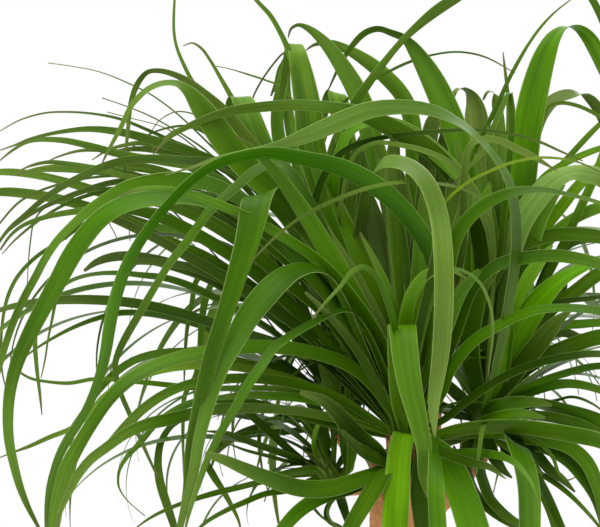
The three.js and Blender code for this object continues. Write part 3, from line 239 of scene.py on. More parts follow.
tracedLeaves = {
    "frontDrop": ("upper", 17, 225, "pale",
        "352,330,12,10 360,240,14,30 368,190,13,60 374,171,12,80 385,163,12,95 400,163,14,110 "
        "416,171,17,125 429,187,18,140 438,212,19,155 443,250,20,175 444,300,20 441,350,18 437,380,15 "
        "434,400,13 434,420,8 435,437,2"),
    "centreFold": ("front", 19, 110, "bright",
        "399,400,16,10 400,360,24,22 401,332,28,34 402,325,28,46 403,333,28,58 406,360,27,70 "
        "411,390,24,82 418,420,19,92 424,450,17,99 423,475,10,104 427,497,2"),
    "centreLowFold": ("front", 18, 175, "lime",
        "404,434,22,16 400,450,24,22 398,470,25,28 397,490,26 395,527,27 394,570,22 393,620,11 393,650,4"),
    "lowerCentreDrop": ("front", 14, 165, "fresh",
        "433,432,4,40 434,445,9,80 435,465,14,110 436,490,17,130 438,527,18 440,570,16 441,610,9 "
        "441,640,3"),
    "rightDiagonalDrop": ("front", 21, 150, "fresh",
        "428,441,14 443,455,22 454,475,29 464,500,31 473,527,32 484,560,28 495,600,16 503,640,4"),
    "innerRightDrop": ("right", 13, 60, "shadedDeep",
        "476,428,12 469,440,13 466,455,12 467,472,12 472,487,11 482,502,10 497,515,9 512,525,6 527,533,2"),
    "rightDrop": ("front", 15, 140, "mid",
        "450,437,8,5 490,434,9,15 508,438,12,35 519,450,18,60 525,468,22,80 529,490,23,95 "
        "530,527,22,115 531,570,16 530,610,9 529,640,3"),
    "darkCentreDrop": ("front", 12, 80, "shadedDeep",
        "420,446,12 420,470,17 420,495,20 422,515,19 423,527,18 423,570,14 422,610,4"),
    "bigGreenArch": ("front", 15, 115, "vivid",
        "440,395,14 443,330,16 435,262,18 415,225,20 395,202,20 370,182,20 340,167,19 300,158,15 "
        "270,153,12 240,157,11 215,165,10 195,178,9 175,197,9 148,230,10 127,265,12 115,300,13 "
        "109,330,13 106,350,12 101,372,10 93,395,9 82,418,8 68,440,8 57,462,8 50,485,7 47,508,6 46,530,3"),
    "upperGreenArch": ("right", 15, 25, "mid",
        "486,350,16 484,290,16 479,240,16 473,212,17 462,190,17 445,165,19 425,147,20 400,132,20 "
        "380,122,18 360,113,16 340,109,13 320,106,11 290,105,11 260,107,11 230,111,9 205,119,8 "
        "185,128,6 165,141,3 152,156,1"),
    "paleRightArch": ("right", 15, 80, "pale",
        "487,400,6,38 495,372,8,56 503,335,10,66 511,290,11,72 516,245,11,75 514,205,11,77 507,178,8,78 "
        "495,158,6,79 481,141,6,80 465,127,7,80 450,118,9,80 430,110,13,80 400,107,15,80 370,110,18,80 "
        "345,119,20,80 320,130,18,80 300,138,15,80 283,144,10,80 262,149,6,80 240,153,5,80 215,159,4 "
        "190,168,3 165,175,1"),
    "leftFold": ("front", 21, 100, "mid",
        "355,318,24,-20 322,262,28,-12 298,222,31,-2 279,199,32,10 265,193,32,26 257,200,31,42 "
        "253,215,29,52 247,240,25,62 238,270,21,72 229,300,18,80 221,325,17,85 213,350,17,89 "
        "206,378,16,92 200,405,15,95 194,433,14,97 190,462,13,98 188,488,10,99 184,510,8 180,530,6 "
        "176,555,2"),
    "leftFoldInner": ("front", 19, 125, "mid",
        "352,322,8 338,292,7 324,272,8 308,268,15 291,273,23 275,285,27 261,300,27 248,317,25 "
        "238,335,22 229,352,19 220,370,17 212,392,15 205,416,13 199,440,12 195,465,11 190,488,9 "
        "184,508,7 179,527,5 175,545,2"),
    "thinCurl": ("front", 6, 135, "mid",
        "395,330,7 386,297,7 375,275,6 363,267,5 352,272,5 340,287,4 325,303,3 312,319,2"),
    "leftLowSweep": ("front", 9, 130, "mid",
        "385,370,5 352,312,4 335,312,5 315,322,7 295,333,8 275,347,9 262,365,10 248,385,10 235,408,9 "
        "222,430,8 208,458,7 198,485,6 190,510,4 185,530,2"),
    "thinLightArch": ("right", 4, 120, "pale",
        "490,330,4 494,250,4 488,208,3 465,190,3 440,184,3 410,182,3 380,185,4 350,194,4 320,207,4 "
        "300,218,3 280,233,3 262,250,2 250,263,1"),
    "thinCentreHook": ("front", 3, 100, "pale",
        "425,330,3 442,276,3 455,269,3 466,272,3 480,283,3 490,305,3 493,330,3 490,360,2 488,377,1"),
    "wideLeft": ("front", 16, 40, "mid",
        "330,300,12 240,213,14 195,198,14 160,198,16 136,201,18 116,208,19 98,221,20 82,240,20 "
        "69,260,20 59,279,19 44,306,17 30,333,16 18,360,14 11,385,12 8,412,11 9,440,10 14,465,9 "
        "20,487,8 28,507,6 40,530,3"),
    "wideLeftUpper": ("front", 13, 15, "mid",
        "300,258,12 225,190,14 180,180,18 150,183,18 125,189,16 107,199,13 91,209,11 77,221,9 58,240,8 "
        "45,259,8 36,276,8 26,294,8 17,313,8 9,334,7 2,357,7 -4,380,5 -8,400,2"),
    "darkBold": ("front", 10, -30, "shadedDeep",
        "330,260,11 250,175,10 220,163,9 190,161,9 160,159,9 130,160,9 105,166,8 85,175,8 65,185,7 "
        "45,198,6 25,215,5 10,228,4 -2,244,3 -12,268,1"),
    "lowArchLong": ("front", 11, 140, "mid",
        "365,426,8 330,417,9 300,411,9 250,408,10 210,410,11 170,419,13 145,425,12 125,434,11 "
        "107,447,10 90,460,10 78,475,9 69,492,8 61,510,5 56,530,2"),
    "lowArchUpper": ("front", 9, 105, "mid",
        "372,419,9 335,397,10 300,385,10 260,379,10 225,379,10 190,384,9 165,394,10 143,409,10 "
        "125,427,10 108,446,9 92,458,8 80,472,5 72,485,2"),
    "midLeftArch": ("front", 13, 85, "mid",
        "380,395,12 350,366,13 300,350,14 250,347,14 208,352,14 175,359,13 150,368,13 128,381,14 "
        "109,399,13 94,420,13 81,441,13 70,461,15 62,481,16 56,503,17 52,527,16 48,550,12 45,575,7 "
        "44,600,2"),
    "midLeftShort": ("upper", 8, 30, "mid",
        "290,372,8 240,364,8 205,364,7 180,365,6 160,370,5 140,378,4 122,390,1"),
    "darkLeftLong": ("front", 10, -25, "shadedDeep",
        "340,372,10 290,348,10 250,335,10 215,324,10 180,313,10 140,304,10 100,300,10 60,300,9 25,304,7 "
        "0,310,5 -20,320,2"),
    "leftSlim": ("upper", 7, -10, "mid",
        "290,368,8 215,331,7 185,321,7 150,314,6 120,313,6 95,319,5 70,329,4 48,341,3 30,353,2 20,362,1"),
    "leftBlunt": ("front", 11, -10, "shadedDeep",
        "330,348,11 220,284,12 205,276,12 180,267,12 150,259,11 125,256,10 108,258,9 95,263,7 84,271,3"),
    "leftHook": ("upper", 7, 60, "mid",
        "290,345,7 215,298,8 190,286,8 165,278,7 140,275,6 120,273,5 95,274,4 75,279,4 62,287,4 "
        "56,300,4 53,315,3 48,340,2 45,360,2 41,378,1"),
    "leftHanging": ("upper", 6, -20, "fresh",
        "250,230,6 180,200,6 130,203,6 97,225,6 70,255,6 50,285,6 38,310,5 35,340,5 37,370,4 40,395,3 "
        "42,415,1"),
    "leftLevel": ("front", 5, -35, "mid",
        "300,392,6 200,388,6 140,382,5 95,379,4 70,383,4 50,382,3 30,378,3 18,370,2 10,355,1"),
    "oliveTip": ("front", 8, 10, "olive",
        "300,382,8 220,366,8 160,370,8 125,384,8 103,398,7 87,417,5 70,429,5 50,437,5 30,446,4 14,452,2 "
        "-4,459,1"),
    "leftDroop": ("upper", 8, 50, "mid",
        "270,372,8 190,352,8 135,360,8 98,390,8 86,410,8 72,431,8 60,452,7 52,475,6 48,500,5 50,530,2"),
    "lowKinked": ("front", 8, 40, "mid",
        "330,424,8 250,402,8 200,401,8 175,410,7 155,425,6 140,443,6 126,458,5 119,472,3 119,487,2 "
        "127,500,1 145,516,1"),
    "lowHook": ("upper", 8, 20, "mid",
        "270,420,6 205,412,6 174,424,6 162,440,7 158,460,8 160,482,9 167,505,9 175,530,7 182,560,3"),
    "longDiagonal": ("front", 11, 45, "mid",
        "345,280,12 302,190,12 280,163,11 258,169,11 235,188,10 210,211,9 186,243,9 170,263,8 155,287,7 "
        "141,311,8 127,335,8 119,351,7 115,366,6 119,388,5 130,415,5 143,445,4 158,478,2"),
    "upLeftSlimA": ("upper", 4, -55, "shadedDeep",
        "260,205,6 200,154,5 172,141,4 150,131,3.5 120,119,3 95,114,2.5 70,112,2 45,113,2 20,120,1.5 "
        "0,131,1"),
    "upLeftBand": ("front", 9, -60, "mid",
        "300,240,9 240,175,9 200,155,9 170,145,9 145,138,9 120,132,8 90,129,6 60,132,4 30,139,3 "
        "15,145,2 -5,152,1"),
    "upLeftBandLower": ("upper", 9, -35, "mid",
        "260,215,9 200,170,9 160,161,8 130,156,8 112,152,8 90,146,7 60,140,6 30,141,4 13,150,3 -3,163,1"),
    "leftPlainA": ("upper", 9, -80, "mid",
        "250,235,9 160,202,10 100,192,10 80,186,9 55,179,8 30,174,8 0,172,7 -35,178,2"),
    "leftPlainB": ("front", 6, -75, "mid",
        "250,215,6 170,186,6 120,175,6 95,168,5 70,164,5 50,162,4 33,165,3 18,171,1"),
    "leftPlainC": ("upper", 5, -95, "mid",
        "200,175,5 140,158,5 115,152,4 95,150,4 78,151,3 60,156,2 46,162,1"),
    "leftPlainD": ("upper", 10, -70, "mid",
        "250,262,9 150,226,10 85,206,10 58,199,10 30,194,10 0,192,9 -42,199,2"),
    "tallArchLeft": ("front", 13, -40, "pale",
        "385,340,16 345,264,16 300,203,16 265,162,15 240,131,14 222,110,12 205,95,10 190,83,8 175,75,6 "
        "160,71,5 148,72,5 140,80,6 134,92,6 130,108,5 128,130,4 126,150,3 125,175,1"),
    "tallArchLeftInner": ("front", 20, -15, "fresh",
        "378,340,17 330,258,20 280,197,24 250,170,27 228,145,28 213,124,26 200,106,22 189,92,14 "
        "178,84,7 165,83,6 150,88,6 138,98,6 130,108,5 122,125,5 113,142,4 106,155,3 101,166,1"),
    "paleTopFold": ("front", 17, -70, "fresh",
        "374,340,15,5 328,262,19,-5 293,205,23,-14 270,165,24,-22 256,132,23,-30 246,108,23,-38 "
        "240,97,22,-46 233,103,16,-56 234,122,10,-62 237,145,6,-67 240,165,3"),
    "topSlimA": ("upper", 5, -60, "mid",
        "330,270,7 275,175,7 248,142,6 226,117,6 206,97,5 193,82,4 184,65,4 177,48,3 174,32,3 174,10,3 "
        "177,-30,1"),
    "topSlimB": ("front", 6, -70, "mid",
        "340,270,8 290,196,8 265,161,7 250,131,7 238,109,6 228,91,5 220,77,4 210,60,3 201,48,3 192,43,2 "
        "183,46,1"),
    "topSlimC": ("front", 8, -80, "mid",
        "350,270,10 320,185,10 305,131,9 298,92,8 293,66,7 287,47,6 280,32,5 270,15,5 258,2,4 248,-10,4 "
        "232,-27,2"),
    "topFold": ("front", 20, -105, "fresh",
        "388,340,22 355,255,25 323,190,28 312,150,29 308,110,28 302,75,23 297,52,17,-68 294,44,15,-76 "
        "290,52,12,-86 285,75,8,-95 280,102,4"),
    "topFoldSlim": ("upper", 10, -115, "mid",
        "335,280,12 303,185,13 291,130,12 286,92,10 286,66,9 286,60,8 280,72,5 271,96,2"),
    "topArchA": ("front", 16, -95, "fresh",
        "402,300,20 391,205,21 375,150,22 361,101,22 344,69,18 325,43,12 309,29,7 298,25,4 291,29,3 "
        "288,38,1"),
    "topArchB": ("back", 14, -60, "fresh",
        "412,290,18 414,180,18 413,130,18 407,105,18 399,91,17 385,76,16 368,62,14 350,51,10 330,43,7 "
        "314,45,3 305,51,1"),
    "topArchC": ("right", 18, -85, "fresh",
        "479,350,20 475,270,23 469,195,24 460,145,26 442,100,27 427,70,22 412,47,13 403,38,8 391,33,7 "
        "378,29,7 365,33,7 352,46,6 340,65,4 327,93,1"),
    "topRightLean": ("left", 9, -50, "mid",
        "331,330,9 335,260,10 341,200,10 346,150,10 352,110,10 368,84,9 386,60,7 402,41,6 421,23,9 "
        "440,8,12 458,-3,10 480,-16,6 502,-24,3"),
    "topThinRight": ("upper", 3, -30, "mid",
        "322,250,3 320,160,3 338,110,3 360,89,3 390,71,3 412,61,3 437,54,2 460,52,2 485,57,2 515,73,1"),
    "topThinLeft": ("upper", 3, -60, "mid",
        "325,200,4 305,135,3 290,97,3 280,86,2 268,81,2 250,75,2 230,69,1 216,66,1"),
    "topDarkThin": ("upper", 4, -40, "shadedDeep",
        "330,210,4 312,125,4 300,72,3 292,53,3 284,53,2 275,62,2 262,80,2 254,95,2 250,107,1"),
    "topRightSlim": ("right", 5, -70, "mid",
        "478,320,6 473,225,6 472,160,5 490,120,5 500,99,5 508,81,4 518,62,4 528,45,3 540,28,3 555,12,2 "
        "577,-5,1"),
    "topRightTip": ("right", 5, -90, "mid",
        "497,300,6 505,200,6 508,140,5 508,97,4 505,70,3 503,52,1"),
    "topRightPale": ("right", 6, 30, "mid",
        "495,300,6 505,200,6 512,120,6 509,93,6 501,110,6 492,131,6 485,149,5 473,163,4 452,186,2"),
    "topRightFold": ("back", 17, -70, "sheenSilver",
        "450,300,16 472,220,20 478,150,26 476,118,25 472,99,20 465,90,12 457,90,8 451,102,4 448,122,2"),
    "topRightFoldB": ("right", 10, -95, "fresh",
        "493,300,13 500,200,13 500,135,12 497,106,11 494,93,8 488,92,5 483,100,2"),
    "topRightDark": ("right", 8, -45, "mid",
        "495,320,10 504,240,10 508,185,10 511,140,8 513,112,5 512,92,1"),
    "rightArchTall": ("right", 21, -20, "fresh",
        "493,370,22 503,315,28 511,250,30 521,185,30 527,130,30 535,90,29 545,56,24 555,36,17 566,27,10 "
        "577,28,12 587,36,16 596,50,17 605,70,15 617,98,10 631,137,8 645,182,5 656,220,2"),
    "rightPaleArch": ("right", 14, -60, "sheenSilver",
        "502,380,14 522,262,14 528,165,14 537,125,15 546,108,16 557,98,15 570,94,12 582,94,10 "
        "592,101,12 602,116,12 613,147,11 625,192,8 636,242,5 644,287,2"),
    "rightOliveThin": ("right", 4, -35, "olive",
        "512,300,5 530,195,4 540,130,4 549,107,4 561,103,4 575,105,4 590,111,4 603,119,4 621,135,3 "
        "642,159,1"),
    "rightDarkThin": ("upper", 5, 90, "shadedDeep",
        "310,250,8 318,190,8 336,158,7 355,145,6 375,139,5 400,135,5 430,132,5 460,130,4 480,130,3 "
        "500,132,3 520,136,3 540,142,3 560,151,2.5 583,161,1"),
    "rightLightStub": ("front", 8, 35, "pale",
        "440,330,9 462,250,9 464,180,8 470,146,7 483,139,6 500,141,7 515,148,8 530,155,7 544,163,4 "
        "557,171,1"),
    "rightBroadPale": ("right", 18, 40, "sheenTowardsEnd",
        "496,330,16 508,262,22 521,222,26 538,197,26 556,180,22 572,173,20 586,174,21 601,178,21 "
        "626,196,18 651,227,14 670,266,8 681,303,3"),
    "rightEdgeLight": ("front", 11, 90, "mid",
        "438,335,12 448,272,13 458,234,14 475,212,14 498,197,12 520,191,9 545,190,6 570,195,4 600,203,4 "
        "630,216,3 657,238,1"),
    "rightMidA": ("right", 12, 20, "mid",
        "482,330,11 497,272,13 520,247,14 545,237,14 570,234,14 600,237,14 635,248,12 665,271,8 "
        "686,303,3"),
    "rightMidB": ("front", 11, 70, "mid",
        "452,345,11 474,287,12 496,266,13 530,257,13 560,256,13 600,264,12 635,277,10 662,299,6 "
        "679,328,2"),
    "rightBright": ("right", 19, 75, "bright",
        "499,395,20 506,360,27 518,333,29 535,307,26 551,289,20 566,277,14 583,268,10 601,261,9 "
        "631,264,8 661,282,5 681,312,2"),
    "rightLong": ("front", 11, 110, "fresh",
        "440,397,10 451,369,12 472,343,12 500,325,11 530,312,9 560,308,8 600,311,9 636,320,8 666,340,5 "
        "686,367,2"),
    "rightPointed": ("right", 14, 45, "mid",
        "508,385,14 522,364,18 536,347,20 549,331,18 560,319,11 573,309,1"),
    "rightLowLong": ("front", 8, 125, "shadedDeep",
        "445,419,8 462,405,8 480,392,8 500,379,8 530,366,8 560,358,8 600,354,7 640,363,6 671,382,4 "
        "691,407,1"),
    "rightLowB": ("right", 8, 60, "mid",
        "512,396,8 535,384,8 560,375,8 600,366,7 642,372,5 674,392,2"),
    "rightLowWide": ("right", 13, 30, "mid",
        "508,388,10 530,367,13 553,353,15 576,344,16 601,337,17 636,338,14 667,351,9 692,377,3"),
    "rightLevel": ("right", 14, 75, "mid",
        "505,406,9 532,403,11 561,410,14 600,423,18 631,442,14 656,470,9 672,503,3"),
    "rightFrontLevel": ("front", 13, 150, "mid",
        "432,437,11 460,430,13 490,427,14 520,427,15 550,431,16 580,436,16 601,441,16 636,459,13 "
        "661,487,8 676,518,3"),
    "rightBackRise": ("right", 6, -75, "bright",
        "503,300,6 530,213,6 549,178,6 563,163,6 575,150,6 588,136,6 600,124,5 621,106,4 647,92,1"),
    "rightBackBright": ("right", 7, -70, "lime",
        "501,295,7 525,208,7 542,179,7 560,166,7 580,156,7 601,148,6 631,139,5 661,143,2"),
    "rightBackWide": ("right", 10, -40, "lime",
        "511,330,11 530,262,12 546,227,12 562,206,12 580,184,11 600,166,9 631,146,6 662,136,2"),
    "rightLowHook": ("right", 12, 95, "mid",
        "504,434,11 526,438,13 550,441,14 572,449,15 587,463,15 596,482,14 602,503,12 605,546,7 "
        "607,576,3"),
    "rightLowSlim": ("right", 6, 80, "mid",
        "505,450,6 522,462,6 539,473,6 555,483,6 570,495,5 585,510,4 600,528,3 612,550,1"),
    "rightLowHang": ("right", 9, 60, "mid",
        "508,444,8 529,462,9 541,484,9 549,500,9 556,516,9 563,532,8 571,562,6 576,592,2"),
    "rightStub": ("front", 7, 115, "shadedDeep",
        "450,456,9 472,463,9 489,467,7 506,479,1"),
    "rightStubLong": ("front", 7, 130, "mid",
        "432,448,9 449,453,9 471,453,9 500,456,8 516,464,6 530,480,3 539,502,1"),
    "rightCurl": ("right", 4, 60, "mid",
        "520,432,4 541,444,4 553,458,4 559,473,3 567,480,2 576,477,1"),
    "rightThinDark": ("right", 4, 40, "shadedDeep",
        "515,412,4 540,404,4 558,400,3 570,397,3 582,399,3 600,409,2 613,425,1"),
    "cornerLeaf": ("right", 8, -30, "fresh",
        "520,330,9 570,230,9 608,140,9 616,80,9 610,40,9 600,14,8 590,-4,7 575,-25,4 560,-40,1"),
    "brightCentre": ("front", 15, 30, "fresh",
        "402,412,18 391,380,22 378,347,22 361,311,21 342,275,20 322,241,19 304,212,17 288,189,14 "
        "272,168,11 252,148,6 238,137,2"),
    "brightCentreSlim": ("front", 7, 55, "shadedDeep",
        "392,410,9 376,384,9 360,355,9 341,329,8 322,308,6 305,292,3"),
    "shortUp": ("front", 6, 30, "fresh",
        "400,345,8 393,303,8 384,280,8 373,257,6 360,232,2"),
    "shortUpRight": ("front", 10, 45, "bright",
        "404,345,14 410,300,14 424,277,13 438,270,10 452,270,6 466,278,2"),
    "lowLeftFanA": ("left", 8, 20, "shadedDeep",
        "316,470,8 299,458,8 282,443,8 262,425,8 244,410,7 225,401,5 202,399,1"),
    "lowLeftFanB": ("left", 7, 35, "shadedDeep",
        "315,466,7 290,456,7 262,446,7 240,438,7 225,433,5 203,431,1"),
    "lowLeftFanDark": ("left", 4, 15, "shadedDeep",
        "310,466,4 290,462,4 268,456,4 245,450,3 222,441,1"),
    "lowLeftArch": ("upper", 8, -15, "shadedDeep",
        "310,420,8 285,417,8 262,426,8 240,434,8 225,444,7 216,454,5 210,472,1"),
    "lowLeftBroad": ("front", 13, 165, "mid",
        "388,466,15 360,479,16 330,488,18 300,488,18 270,479,16 245,469,13 222,459,10 205,454,5"),
    "lowLeftPair": ("left", 7, 45, "mid",
        "318,470,8 300,471,8 280,474,5 258,480,1"),
    "lowLeftThinA": ("left", 5, 60, "mid",
        "310,474,6 287,476,6 260,482,6 240,487,6 215,493,6 195,499,5 170,508,4 150,518,3 133,530,1"),
    "lowLeftThinB": ("left", 5, 70, "mid",
        "312,480,6 290,490,6 265,494,6 245,502,6 225,511,5 205,523,4 186,542,1"),
    "lowLeftHang": ("upper", 7, 20, "mid",
        "300,430,7 240,436,7 216,446,8 207,461,8 213,475,8 222,489,6 230,503,5 238,519,3 242,535,1"),
    "lowLeftDropA": ("front", 12, 130, "mid",
        "378,475,12 350,488,14 322,497,15 303,508,15 290,520,14 277,537,12 264,563,8 255,595,2"),
    "lowLeftDropB": ("front", 14, 150, "mid",
        "390,464,12 382,474,17 374,488,19 366,501,18 354,521,16 340,548,14 328,590,4"),
    "lowLeftCurl": ("left", 4, 70, "mid",
        "338,490,4 331,502,4 328,514,3 334,524,2 344,530,1"),
    "hangBehindA": ("upper", 7, 10, "mid",
        "300,330,7 250,283,7 215,265,7 197,280,6 192,302,5 187,330,4 185,357,3 184,388,1"),
    "hangBehindB": ("upper", 8, 25, "mid",
        "300,345,8 245,288,8 216,280,8 206,298,8 202,322,7 200,350,6 196,375,6 185,395,5 183,425,4 "
        "184,485,1"),
    "hangBehindC": ("left", 4, -20, "mid",
        "315,440,4 285,420,4 264,421,4 259,440,4 262,472,1"),
    "outerThinLeft": ("upper", 4, 10, "mid",
        "220,185,4 150,185,4 115,205,4 88,221,4 60,241,4 36,257,4 18,276,4 8,296,4 3,318,3 1,345,3 "
        "2,370,2 6,390,1"),
    "leftUndersideArch": ("front", 10, -20, "mid",
        "330,345,12 285,300,13 245,265,13 205,239,13 170,221,12 140,211,11 115,208,9 90,210,7 65,213,6 "
        "42,218,5 22,226,4 10,236,3 0,250,2"),
    "leftBehindBand": ("upper", 8, -10, "mid",
        "300,335,10 262,297,10 235,275,10 205,256,10 175,243,9 145,229,9 118,216,8 98,212,6 82,218,4 "
        "72,228,3 66,240,1"),
    "leftInnerA": ("front", 11, -5, "mid",
        "330,320,12 285,280,13 245,245,14 215,225,14 190,212,13 168,204,12 145,200,9 120,198,6 100,198,3"),
    "leftInnerB": ("front", 10, 5, "mid",
        "330,300,12 290,262,13 250,228,13 222,208,12 200,196,10 175,188,8 150,184,5 130,183,2"),
    "leftThinArch": ("upper", 5, -50, "mid",
        "290,220,6 240,180,6 205,160,6 185,152,6 160,146,6 140,143,5 125,145,4 108,150,3 92,160,1"),
    "leftThinDark": ("upper", 5, -40, "shadedDeep",
        "200,182,6 150,180,6 115,182,6 95,187,6 75,194,6 55,202,5 38,210,4 20,222,3 5,234,1"),
    "leftThinBrown": ("upper", 4, -45, "mid",
        "180,180,4 130,185,4 100,192,4 80,198,4 62,206,3 45,216,3 30,227,3 15,240,2 2,254,1"),
    "backFoldA": ("back", 14, -40, "fresh",
        "395,320,16,0 368,230,20,-10 350,160,21,-20 341,118,21,-26 338,98,21,-30 334,92,19,-35 "
        "328,98,12,-38 324,115,8,-39 322,135,3"),
    "innerArch": ("upper", 13, 70, "fresh",
        "343,300,12 332,220,13 338,160,12 352,130,10 372,121,13 398,127,17 420,140,18 440,156,17 "
        "458,174,15 472,192,13 484,215,10 492,243,6 496,270,2"),
    "paleThinInner": ("upper", 4, 90, "pale",
        "338,300,4 342,200,4 355,155,4 375,143,4 400,145,5 425,151,6 447,161,6 463,175,6 475,192,5 "
        "484,215,4 489,240,1"),
    "leftRiseBright": ("front", 12, 70, "bright",
        "398,392,14 384,352,16 368,322,16 352,299,14 332,274,12 308,253,11 283,237,10 262,224,10 "
        "240,213,9 215,203,9 190,194,8 165,189,6 140,189,4 120,196,2"),
    "darkInner": ("front", 17, -45, "shadedDeep",
        "402,400,16 397,340,22 391,295,24 384,258,24 377,228,20 371,203,12 367,185,3"),
    "innerVertical": ("front", 14, -30, "mid",
        "404,400,14 405,345,19 403,300,20 400,260,20 395,225,20 388,190,16 380,158,9 374,138,3"),
    "darkRiseA": ("upper", 14, -50, "shadedDeep",
        "352,350,15 341,290,18 328,240,19 316,198,17 306,162,12 300,135,5"),
    "darkRiseB": ("upper", 15, -60, "shadedDeep",
        "360,345,16 362,285,20 358,235,21 352,190,18 347,155,13 343,125,6"),
    "darkRiseC": ("upper", 13, -30, "mid",
        "338,350,14 318,300,17 298,262,18 278,235,16 262,215,10"),
    "fillA": ("right", 15, -40, "fresh",
        "497,400,16 484,330,20 476,280,22 471,240,22 467,200,18 461,165,10 456,140,4"),
    "fillB": ("right", 14, -30, "bright",
        "500,390,14 496,330,18 492,280,20 489,230,18 484,190,13 477,160,5"),
    "fillC": ("right", 19, 10, "bright",
        "505,370,18 512,315,25 521,265,30 532,225,30 548,197,22 562,182,10"),
    "limeStreak": ("right", 10, 40, "lime",
        "503,385,10 508,345,10 514,312,7 520,295,12 529,277,15 541,260,12 552,245,3"),
    "fillE": ("right", 15, 30, "fresh",
        "480,400,14 470,350,20 474,310,22 484,282,17 500,264,8"),
    "fillF": ("front", 14, 40, "bright",
        "430,410,12 436,360,16 448,318,18 462,290,14 480,270,5"),
    "lowDarkBroad": ("front", 16, 60, "shadedDeep",
        "388,460,18 370,449,22 352,432,20 338,414,16 322,400,11 300,392,5"),
    "leftHeadRise": ("left", 14, 20, "mid",
        "345,470,16 348,440,19 342,415,19 334,393,16 325,372,11 318,352,4"),
    "leftHeadLoop": ("left", 5, 30, "fresh",
        "326,468,4 318,458,5 314,445,5 316,430,5 322,418,4 330,410,2"),
    "leftHeadBright": ("left", 7, 30, "bright",
        "347,476,8 351,455,8 350,435,7 344,415,5 338,400,2"),
    "limePatch": ("back", 9, 0, "lime",
        "345,390,10 330,368,12 319,350,12 308,335,8 298,322,3"),
    "archSmall": ("upper", 5, -20, "mid",
        "300,200,6 262,160,6 240,145,6 222,134,5 205,128,4 190,127,4 175,131,3 163,140,3 152,150,1"),
    "hairTop": ("upper", 2, -70, "shadedDeep",
        "300,220,2 240,175,2 220,155,2 200,135,2 175,112,1.5 150,94,1.5 130,84,1.5 100,72,1 70,66,1 "
        "48,63,1"),
    "hairMiddle": ("upper", 2, -60, "shadedDeep",
        "290,220,2 235,175,2 215,158,2 200,146,2 180,133,1.5 150,116,1.5 120,104,1 102,98,1"),
    "hairLower": ("upper", 2, -60, "shadedDeep",
        "285,215,2 230,170,2 205,155,1.5 180,136,1.5 160,126,1 130,118,1 107,112,1"),
    "hairHook": ("upper", 2, -55, "shadedDeep",
        "290,190,2 240,145,2 200,118,1.5 190,113,1.5 175,112,1.5 160,120,1 152,130,1"),
    "darkHook": ("upper", 3, -45, "shadedDeep",
        "290,200,3 230,150,3 195,128,3 180,126,2.5 160,130,2 148,135,2 135,145,2 122,160,1.5 113,172,1"),
    "hairHangA": ("upper", 2, 10, "shadedDeep",
        "150,195,2 90,190,2 60,200,2 42,210,2 34,222,1.5 30,245,1.5 28,270,1 27,292,1"),
    "rightDropSecond": ("right", 13, 70, "mid",
        "483,432,12 479,450,12 480,468,11 484,483,11 490,498,11 500,510,10 513,520,8 532,530,4"),
    "rightThinLight": ("right", 6, 105, "pale",
        "484,424,5,60 482,432,5,95 480,445,4,103 478,460,3,105 476,476,1.5"),
    "rightThinHigh": ("right", 6, 20, "shadedDeep",
        "506,385,6 525,330,6 545,306,6 565,301,6 585,299,5 605,297,4 630,302,1"),
    "rightFillHigh": ("right", 13, -20, "fresh",
        "505,380,8 530,335,11 555,307,13 577,290,14 597,275,14 622,262,9 655,255,2"),
    "rightFillStub": ("right", 8, -30, "mid",
        "515,350,8 540,320,9 556,304,9 563,290,8 566,276,4"),
    "rightFillLevel": ("right", 9, -40, "bright",
        "515,380,8 535,340,9 555,327,9 580,324,9 605,323,8 640,330,3"),
    "rightFillDark": ("right", 10, -35, "shadedDeep",
        "512,385,9 530,350,10 545,336,11 560,332,11 575,336,9 588,344,4"),
    "thinOliveArch": ("front", 3, 95, "olive",
        "430,290,3 438,215,3 450,197,3 470,181,3 490,171,3 510,163,3 535,158,3 555,158,2.5 578,162,2 "
        "600,172,1"),
    "fillD": ("right", 14, -40, "mid",
        "500,350,14 500,280,17 498,220,17 494,175,16 491,145,12 489,125,4"),
    "fillG": ("front", 14, -20, "mid",
        "425,340,12 440,270,17 449,220,18 453,190,14 455,165,5"),
    "fillH": ("back", 13, -20, "shadedDeep",
        "430,320,14 434,240,16 438,185,17 441,155,15 446,125,6"),
    "fillI": ("front", 12, 0, "fresh",
        "412,340,12 418,280,15 422,235,16 425,205,14 426,180,5"),
    "frontDropInner": ("front", 10, 60, "shadedDeep",
        "402,400,10 420,330,12 432,280,13 440,235,13 437,205,8 430,185,2"),
    "behindRightA": ("right", 12, -30, "shadedDeep",
        "470,415,12 455,412,14 440,405,12 428,392,4"),
    "behindRightB": ("right", 12, 20, "shadedDeep",
        "475,428,12 460,436,13 445,443,11 433,452,4"),
    "behindRightC": ("right", 11, 10, "mid",
        "470,405,11 455,392,13 443,380,11 436,368,4"),
    "behindRightD": ("right", 12, 35, "mid",
        "490,432,10 502,440,12 515,449,12 530,461,10 543,475,3"),
    "fillJ": ("upper", 14, -30, "mid",
        "342,330,12 346,250,15 350,190,16 355,160,14 362,140,9 372,126,3"),
    "fillK": ("front", 14, -30, "mid",
        "412,320,14 410,250,18 404,205,18 399,178,14 393,160,5"),
    "fillL": ("upper", 13, -45, "mid",
        "332,320,14 328,240,16 329,190,15 331,160,12 336,138,8 341,122,2"),
    "topFoldC": ("upper", 12, -100, "fresh",
        "322,280,12 290,190,14 279,140,14 277,115,13 281,90,12 284,72,10 286,62,9 280,70,6 274,92,2"),
    "leftBandLow": ("front", 10, 0, "shadedDeep",
        "320,345,12 260,300,12 215,272,11 185,255,10 160,241,9 138,230,9 120,222,8 108,219,3"),
    "smallDarkCurl": ("left", 4, 60, "shadedDeep",
        "337,488,5 334,498,5 328,506,5 326,515,5 330,522,5 340,527,4 350,535,2"),
    "slimDark": ("left", 3, 50, "shadedDeep",
        "322,490,3 312,503,3 318,513,3 327,521,2 338,530,1"),
